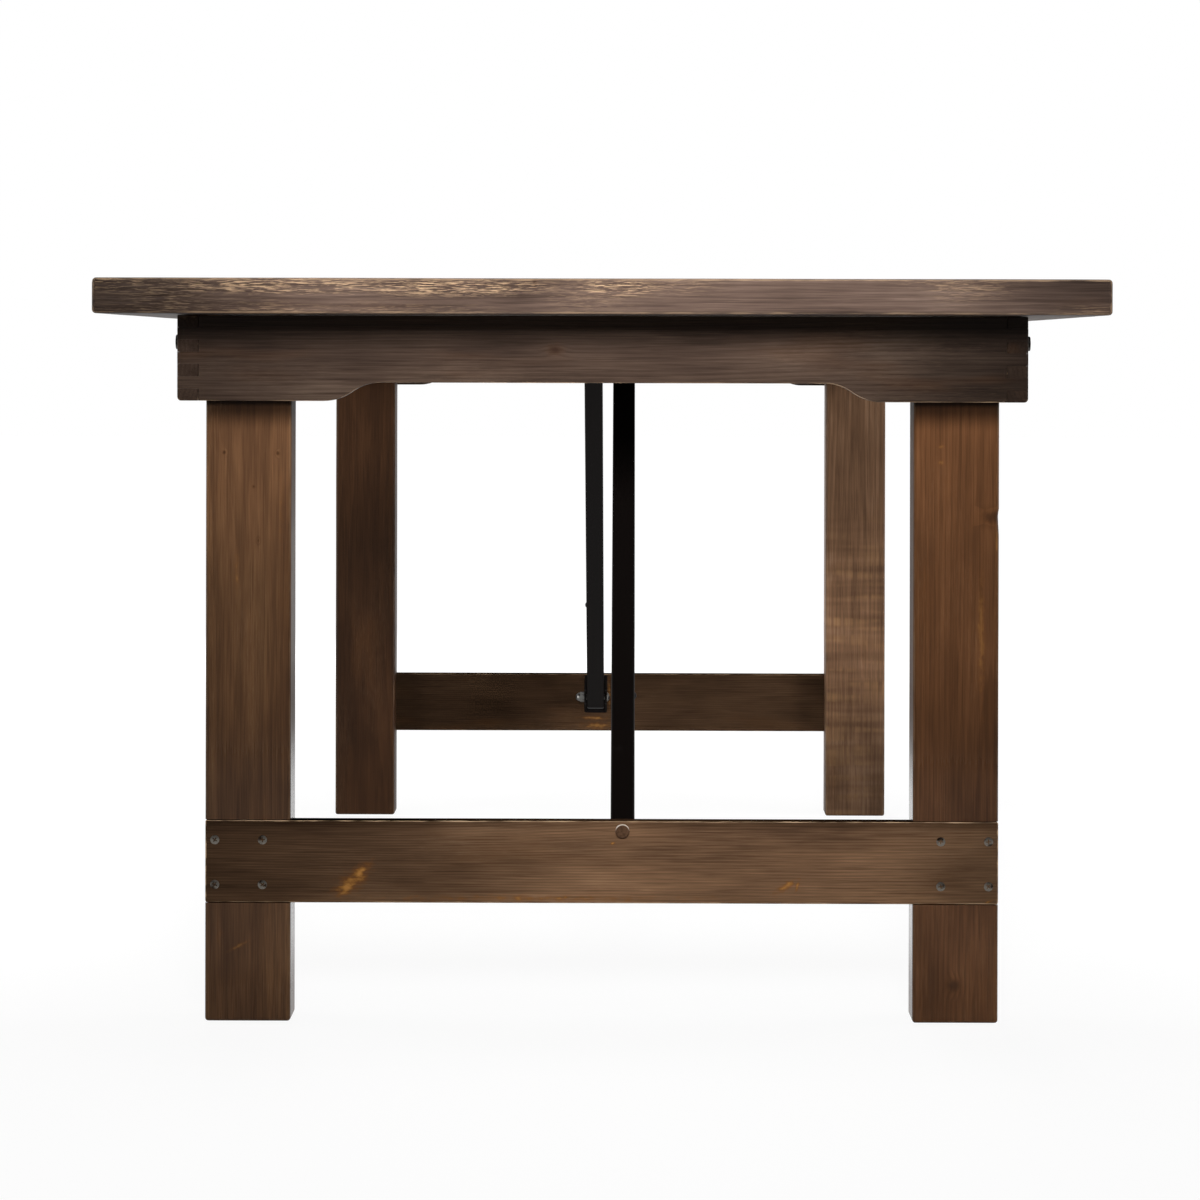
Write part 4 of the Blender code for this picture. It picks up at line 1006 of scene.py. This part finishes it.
def stretcher_screws(end, outward, material):
    node = f"{end}_stretcher"
    low, high = node_box(node)
    columns = [way * (high.x - inset) for way in SIDES.values() for inset in STRETCHER_SCREW_INSETS]
    rows = (high.z - STRETCHER_SCREW_DROP, low.z + STRETCHER_SCREW_LIFT)
    places = [(x, edge_of(node, Y, outward), z) for x in columns for z in rows]
    screws(node, places, (0, outward, 0), material, f"{end}_leg_frame")


def inside(node, axis, inset):
    """Two places on an axis, each so far in from an end of a node's box."""
    return edge_of(node, axis, -1) + inset, edge_of(node, axis, 1) - inset


def board_screws(node, material):
    """Two rows of screws up through a board, into the middles of the planks that it crosses."""
    first, last = inside(node, X, BOARD_SCREW_INSET)
    seams = sorted(round(edge_of(plank, X, -1), SEAM_DIGITS) for plank in PLANKS)
    middles = [seam + (seams[1] - seams[0]) / 2 for seam in seams]
    columns = [x for x in middles if first < x < last]
    rows = inside(node, Y, BOARD_SCREW_INSET)
    screws(node, [(x, y, edge_of(node, Z, -1)) for x in columns for y in rows], DOWN, material)


def flange_screws(node, inset, rows, plate, material):
    """Screws up through the flanges of a steel piece that lie against the top."""
    face = edge_of(node, Z, 1) - plate
    screws(node, [(x, y, face) for x in inside(node, X, inset) for y in rows], DOWN, material)


def make_screws():
    dark_zinc = zinc("screw_zinc", *SCREW_ZINC, tarnish=1.0)
    for end, outward in ENDS.items():
        stretcher_screws(end, outward, dark_zinc)
        board_screws(f"{end}_cleat", dark_zinc)
        catch, keeper = f"{end}_brace_catch", f"{end}_brace_keeper"
        flange_screws(catch, 2 * FIXING_INSET, inside(catch, Y, FIXING_INSET), CATCH_PLATE, dark_zinc)
        flange_screws(keeper, FIXING_INSET, (middle_of(keeper).y,), KEEPER_PLATE, dark_zinc)
    for side in SIDES:
        board_screws(f"{side}_middle_batten", dark_zinc)


def turned(node, axis, way, head, rings, material, body, shank=0.0):
    """A turned piece that stands for a CAD node. Its head ends where the node's box does."""
    low, high = node_box(node)
    at = (low + high) / 2
    at[axis] = edge_of(node, axis, way) - way * head
    if shank:
        hidden = high[axis] - low[axis] - head
        rings = [circle(shank / 2, -hidden), circle(shank / 2, 0.0)] + rings
    mesh = ringed(node, rings)
    mesh.transform(pointed(at, way * AXES[axis]))
    show(node + "_turned", mesh, material, body, node)


def make_pivot_bolts(material):
    """The bolts that the legs turn on, each with a flanged hexagon head outside the side apron."""
    flange = FLANGE_DIAMETER / 2
    for end in ENDS:
        for side, outward in SIDES.items():
            node = f"{end}_{side}_pivot_bolt"
            seat = edge_of(f"{side}_side_apron", X, outward) + outward * FINGER_GAP
            head = abs(edge_of(node, X, outward) - seat)
            rings = [circle(flange, 0.0), circle(flange, FLANGE_THICKNESS * FLANGE_WALL)]
            rings += [circle(flange * FLANGE_FACE, FLANGE_THICKNESS)]
            rings += hex_rings(HEX_ACROSS, FLANGE_THICKNESS, head)
            turned(node, X, outward, head, rings, material, "table", SHANK_DIAMETER)


def make_brace_bolts(end, outward, material):
    """A stretcher's carriage bolt, and the button bolt and cap nut that the brace turns on."""
    body = f"{end}_leg_frame"
    node = f"{end}_carriage_bolt"
    rings = button_rings(CARRIAGE_HEAD_DIAMETER, CARRIAGE_HEAD_HEIGHT)
    stained = lacquered(f"{end}_stained_bolt", middle_of(node))
    turned(node, Y, outward, CARRIAGE_HEAD_HEIGHT, rings, stained, body, CARRIAGE_SHANK_DIAMETER)
    rings = dome_rings(BUTTON_DIAMETER, BUTTON_HEIGHT)
    turned(f"{end}_brace_pivot_bolt", X, outward, BUTTON_HEIGHT, rings, material, body, SHANK_DIAMETER)
    node = f"{end}_brace_pivot_cap_nut"
    height = edge_of(node, X, 1) - edge_of(node, X, -1)
    cap = height - CAP_HEX_HEIGHT
    rings = hex_rings(HEX_ACROSS, 0.0, CAP_HEX_HEIGHT) + dome_rings(2 * cap, cap, CAP_HEX_HEIGHT)
    turned(node, X, -outward, height, rings, material, body)


def make_rivet(end, outward, material):
    name = f"{end}_brace_rivet"
    at = middle_of(f"{end}_brace_pivot_bolt").lerp(middle_of(f"{end}_clamp_bolt"), RIVET_ALONG_BRACE)
    at.x = edge_of(f"{end}_brace", X, -outward)
    mesh = ringed(name, dome_rings(RIVET_DIAMETER, RIVET_HEIGHT))
    mesh.transform(pointed(at, (-outward, 0, 0)))
    show(name, mesh, material, f"{end}_brace_arm")


def dress_steel():
    """Finishes for the CAD's own steel and plastic pieces, and the turned pieces."""
    black = speckled("powder_coat", POWDER_BLACK, **POWDER_COAT)
    finishes = {("_brace", "_brace_bracket", "_brace_catch", "_brace_keeper"): black,
                "_plug": speckled("plug_plastic", PLUG_BLACK, **PLASTIC),
                "_spacer": speckled("nylon", NYLON_CREAM, **PLASTIC),
                ("_nut", "_bolt"): zinc("bright_zinc", *BRIGHT_ZINC, tarnish=0.5)}
    for node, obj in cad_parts.items():
        for endings, material in finishes.items():
            if node.endswith(endings):
                obj.data.materials.clear()
                obj.data.materials.append(material)
    worn = zinc("worn_zinc", *WORN_ZINC, tarnish=0.9)
    for end, outward in ENDS.items():
        make_brace_bolts(end, outward, worn)
        make_rivet(end, outward, black)
    make_pivot_bolts(zinc("pivot_zinc", *PIVOT_ZINC, tarnish=0.9))


# Studio

def make_camera():
    data = bpy.data.cameras.new("camera")
    camera = link("camera", data)
    turn = Matrix.Rotation(-CAMERA_YAW, 4, "Z") @ Matrix.Rotation(QUARTER_TURN + CAMERA_PITCH, 4, "X")
    camera.matrix_world = Matrix.Translation(CAMERA_AT) @ turn @ Matrix.Rotation(CAMERA_ROLL, 4, "Z")
    data.sensor_width = SENSOR_WIDTH
    data.lens = FOCAL_PIXELS * SENSOR_WIDTH / IMAGE_SIZE
    data.shift_x = (IMAGE_SIZE / 2 - CENTRE_PIXEL[0]) / IMAGE_SIZE
    data.shift_y = (CENTRE_PIXEL[1] - IMAGE_SIZE / 2) / IMAGE_SIZE
    data.clip_end = CLIP_END
    bpy.context.scene.camera = camera


def backdrop_rays(s):
    """Whether a ray sees the white backdrop, and whether it comes from the camera."""
    path = s.node("ShaderNodeLightPath").outputs
    seen = s.math("MAXIMUM", path["Is Camera Ray"], path["Is Glossy Ray"])
    return s.math("MAXIMUM", seen, path["Is Transmission Ray"]), path["Is Camera Ray"]


def make_floor():
    bm = bmesh.new()
    bmesh.ops.create_grid(bm, x_segments=1, y_segments=1, size=FLOOR_SIZE)
    floor = link("floor", finished(bm, "floor"))
    material, s, sockets = new_material("floor_white")
    seen, _ = backdrop_rays(s)
    distance = s.vector("LENGTH", s.node("ShaderNodeTexCoord").outputs["Object"])
    glow = s.plus(s.rise(distance, *FLOOR_GLOW_SPAN, 1 - FLOOR_GLOW), FLOOR_GLOW)
    settings = {"Base Color": tone(FLOOR_GREY), "Roughness": FLOOR_ROUGHNESS, "Specular IOR Level": 0.0,
                "Emission Color": WHITE, "Emission Strength": s.times(seen, glow)}
    for name, value in settings.items():
        s.feed(sockets[name], value)
    floor.data.materials.append(material)


def make_world():
    """White to the camera, dim before the table in reflections, and a low fill."""
    world = bpy.data.worlds.new("studio")
    bpy.context.scene.world = world
    world.use_nodes = True
    s = Shader(world.node_tree)
    sockets = world.node_tree.nodes["Background"].inputs
    direction = s.node("ShaderNodeTexCoord").outputs["Generated"]
    behind = s.rise(s.split(direction)["Y"], *BEHIND_STEP)
    seen, camera_ray = backdrop_rays(s)
    gloss = s.times(seen, s.plus(behind, GLOSS_LIGHT))
    level = s.math("MAXIMUM", s.math("MAXIMUM", camera_ray, gloss), FILL_LIGHT)
    s.feed(sockets["Strength"], level)
    sockets["Color"].default_value = WHITE


def lamp(name, at, aim, size, energy, spread=180, glare=True):
    light = bpy.data.lights.new(name, "AREA")
    light.shape = "RECTANGLE"
    light.size, light.size_y = size
    light.energy = energy
    light.spread = math.radians(spread)
    obj = link(name, light)
    obj.location = at
    obj.visible_camera = False
    obj.visible_glossy = glare
    obj.rotation_euler = (Vector(aim) - Vector(at)).to_track_quat("-Z", "Y").to_euler()


def make_lights():
    lamp("front_softbox", at=(0.10, -4.6, 1.45), aim=(0.04, -1.1, 0.70), size=(0.6, 0.7), energy=7.9,
         spread=31, glare=False)
    for side in SIDES.values():
        lamp(f"grid_{side}", at=(side * 2.6, -1.25, 0.5), aim=(-side * 0.36, 1.03, 0.5), size=(0.8, 0.8),
             energy=7.5, spread=60)
        lamp(f"side_softbox_{side}", at=(side * 3.2, 0.1, 1.3), aim=(side * 0.4, 0.1, 0.55), size=(2.0, 1.0),
             energy=32)
    lamp("rear_softbox", at=(-0.6, 5.0, 1.5), aim=(0, 1.1, 0.6), size=(1.4, 0.8), energy=110, glare=False)
    lamp("overhead", at=(0, 0, 3.2), aim=(0, 0, 0.76), size=(1.6, 2.6), energy=50)


# Assembly

make_camera()
make_top()
make_end_apron("front", depth=0.72, knots=marks("front_end_apron", APRON_KNOTS))
make_end_apron("rear", depth=0.6)
make_side_apron("left", depth=0.65, shades=LEFT_APRON_SHADES)
make_side_apron("right", depth=0.42, shades=RIGHT_APRON_SHADES)
make_leg("front", "left", depth=1.42, shades=LEFT_LEG_SHADES, polish=LEFT_LEG_POLISH, amber_depth=0.25,
         knots=marks("front_left_leg", LEFT_LEG_KNOTS),
         ambers=marks("front_left_leg", LEFT_LEG_AMBERS) + marks("front_left_leg", LEFT_LEG_GLOWS, FAINTER))
make_leg("front", "right", stain=RED_STAIN, depth=1.85, shades=RIGHT_LEG_SHADES, polish=RIGHT_LEG_POLISH,
         knots=marks("front_right_leg", RIGHT_LEG_KNOTS, DEEPER), dents=RIGHT_LEG_DENTS, amber_depth=0.13,
         ambers=marks("front_right_leg", RIGHT_LEG_AMBERS))
make_leg("rear", "left", stain=RED_STAIN, depth=0.85, shades=REAR_LEFT_LEG_SHADES)
make_leg("rear", "right", stain=FIGURED_STAIN, depth=1.56, figure=0.9, shades=REAR_RIGHT_LEG_SHADES)
# The front stretcher's pale arrises are partly wear and partly a painted highlight
make_stretcher("front", depth=1.75, shades=FRONT_STRETCHER_SHADES, wear=0.9,
               ambers=marks("front_stretcher", STRETCHER_AMBERS)
               + marks("front_stretcher", STRETCHER_FAINT_AMBERS, FAINT)
               + marks("front_stretcher", STRETCHER_GLOWS, FAINTER))
make_stretcher("rear", depth=0.5, shades=REAR_STRETCHER_SHADES, wear=0.3, amber_depth=0.3,
               ambers=marks("rear_stretcher", REAR_STRETCHER_AMBERS))
make_hidden_boards()
dress_steel()
make_screws()
make_floor()
make_world()
make_lights()
bpy.context.scene.view_settings.view_transform = "Standard"

bpy.context.view_layer.update()
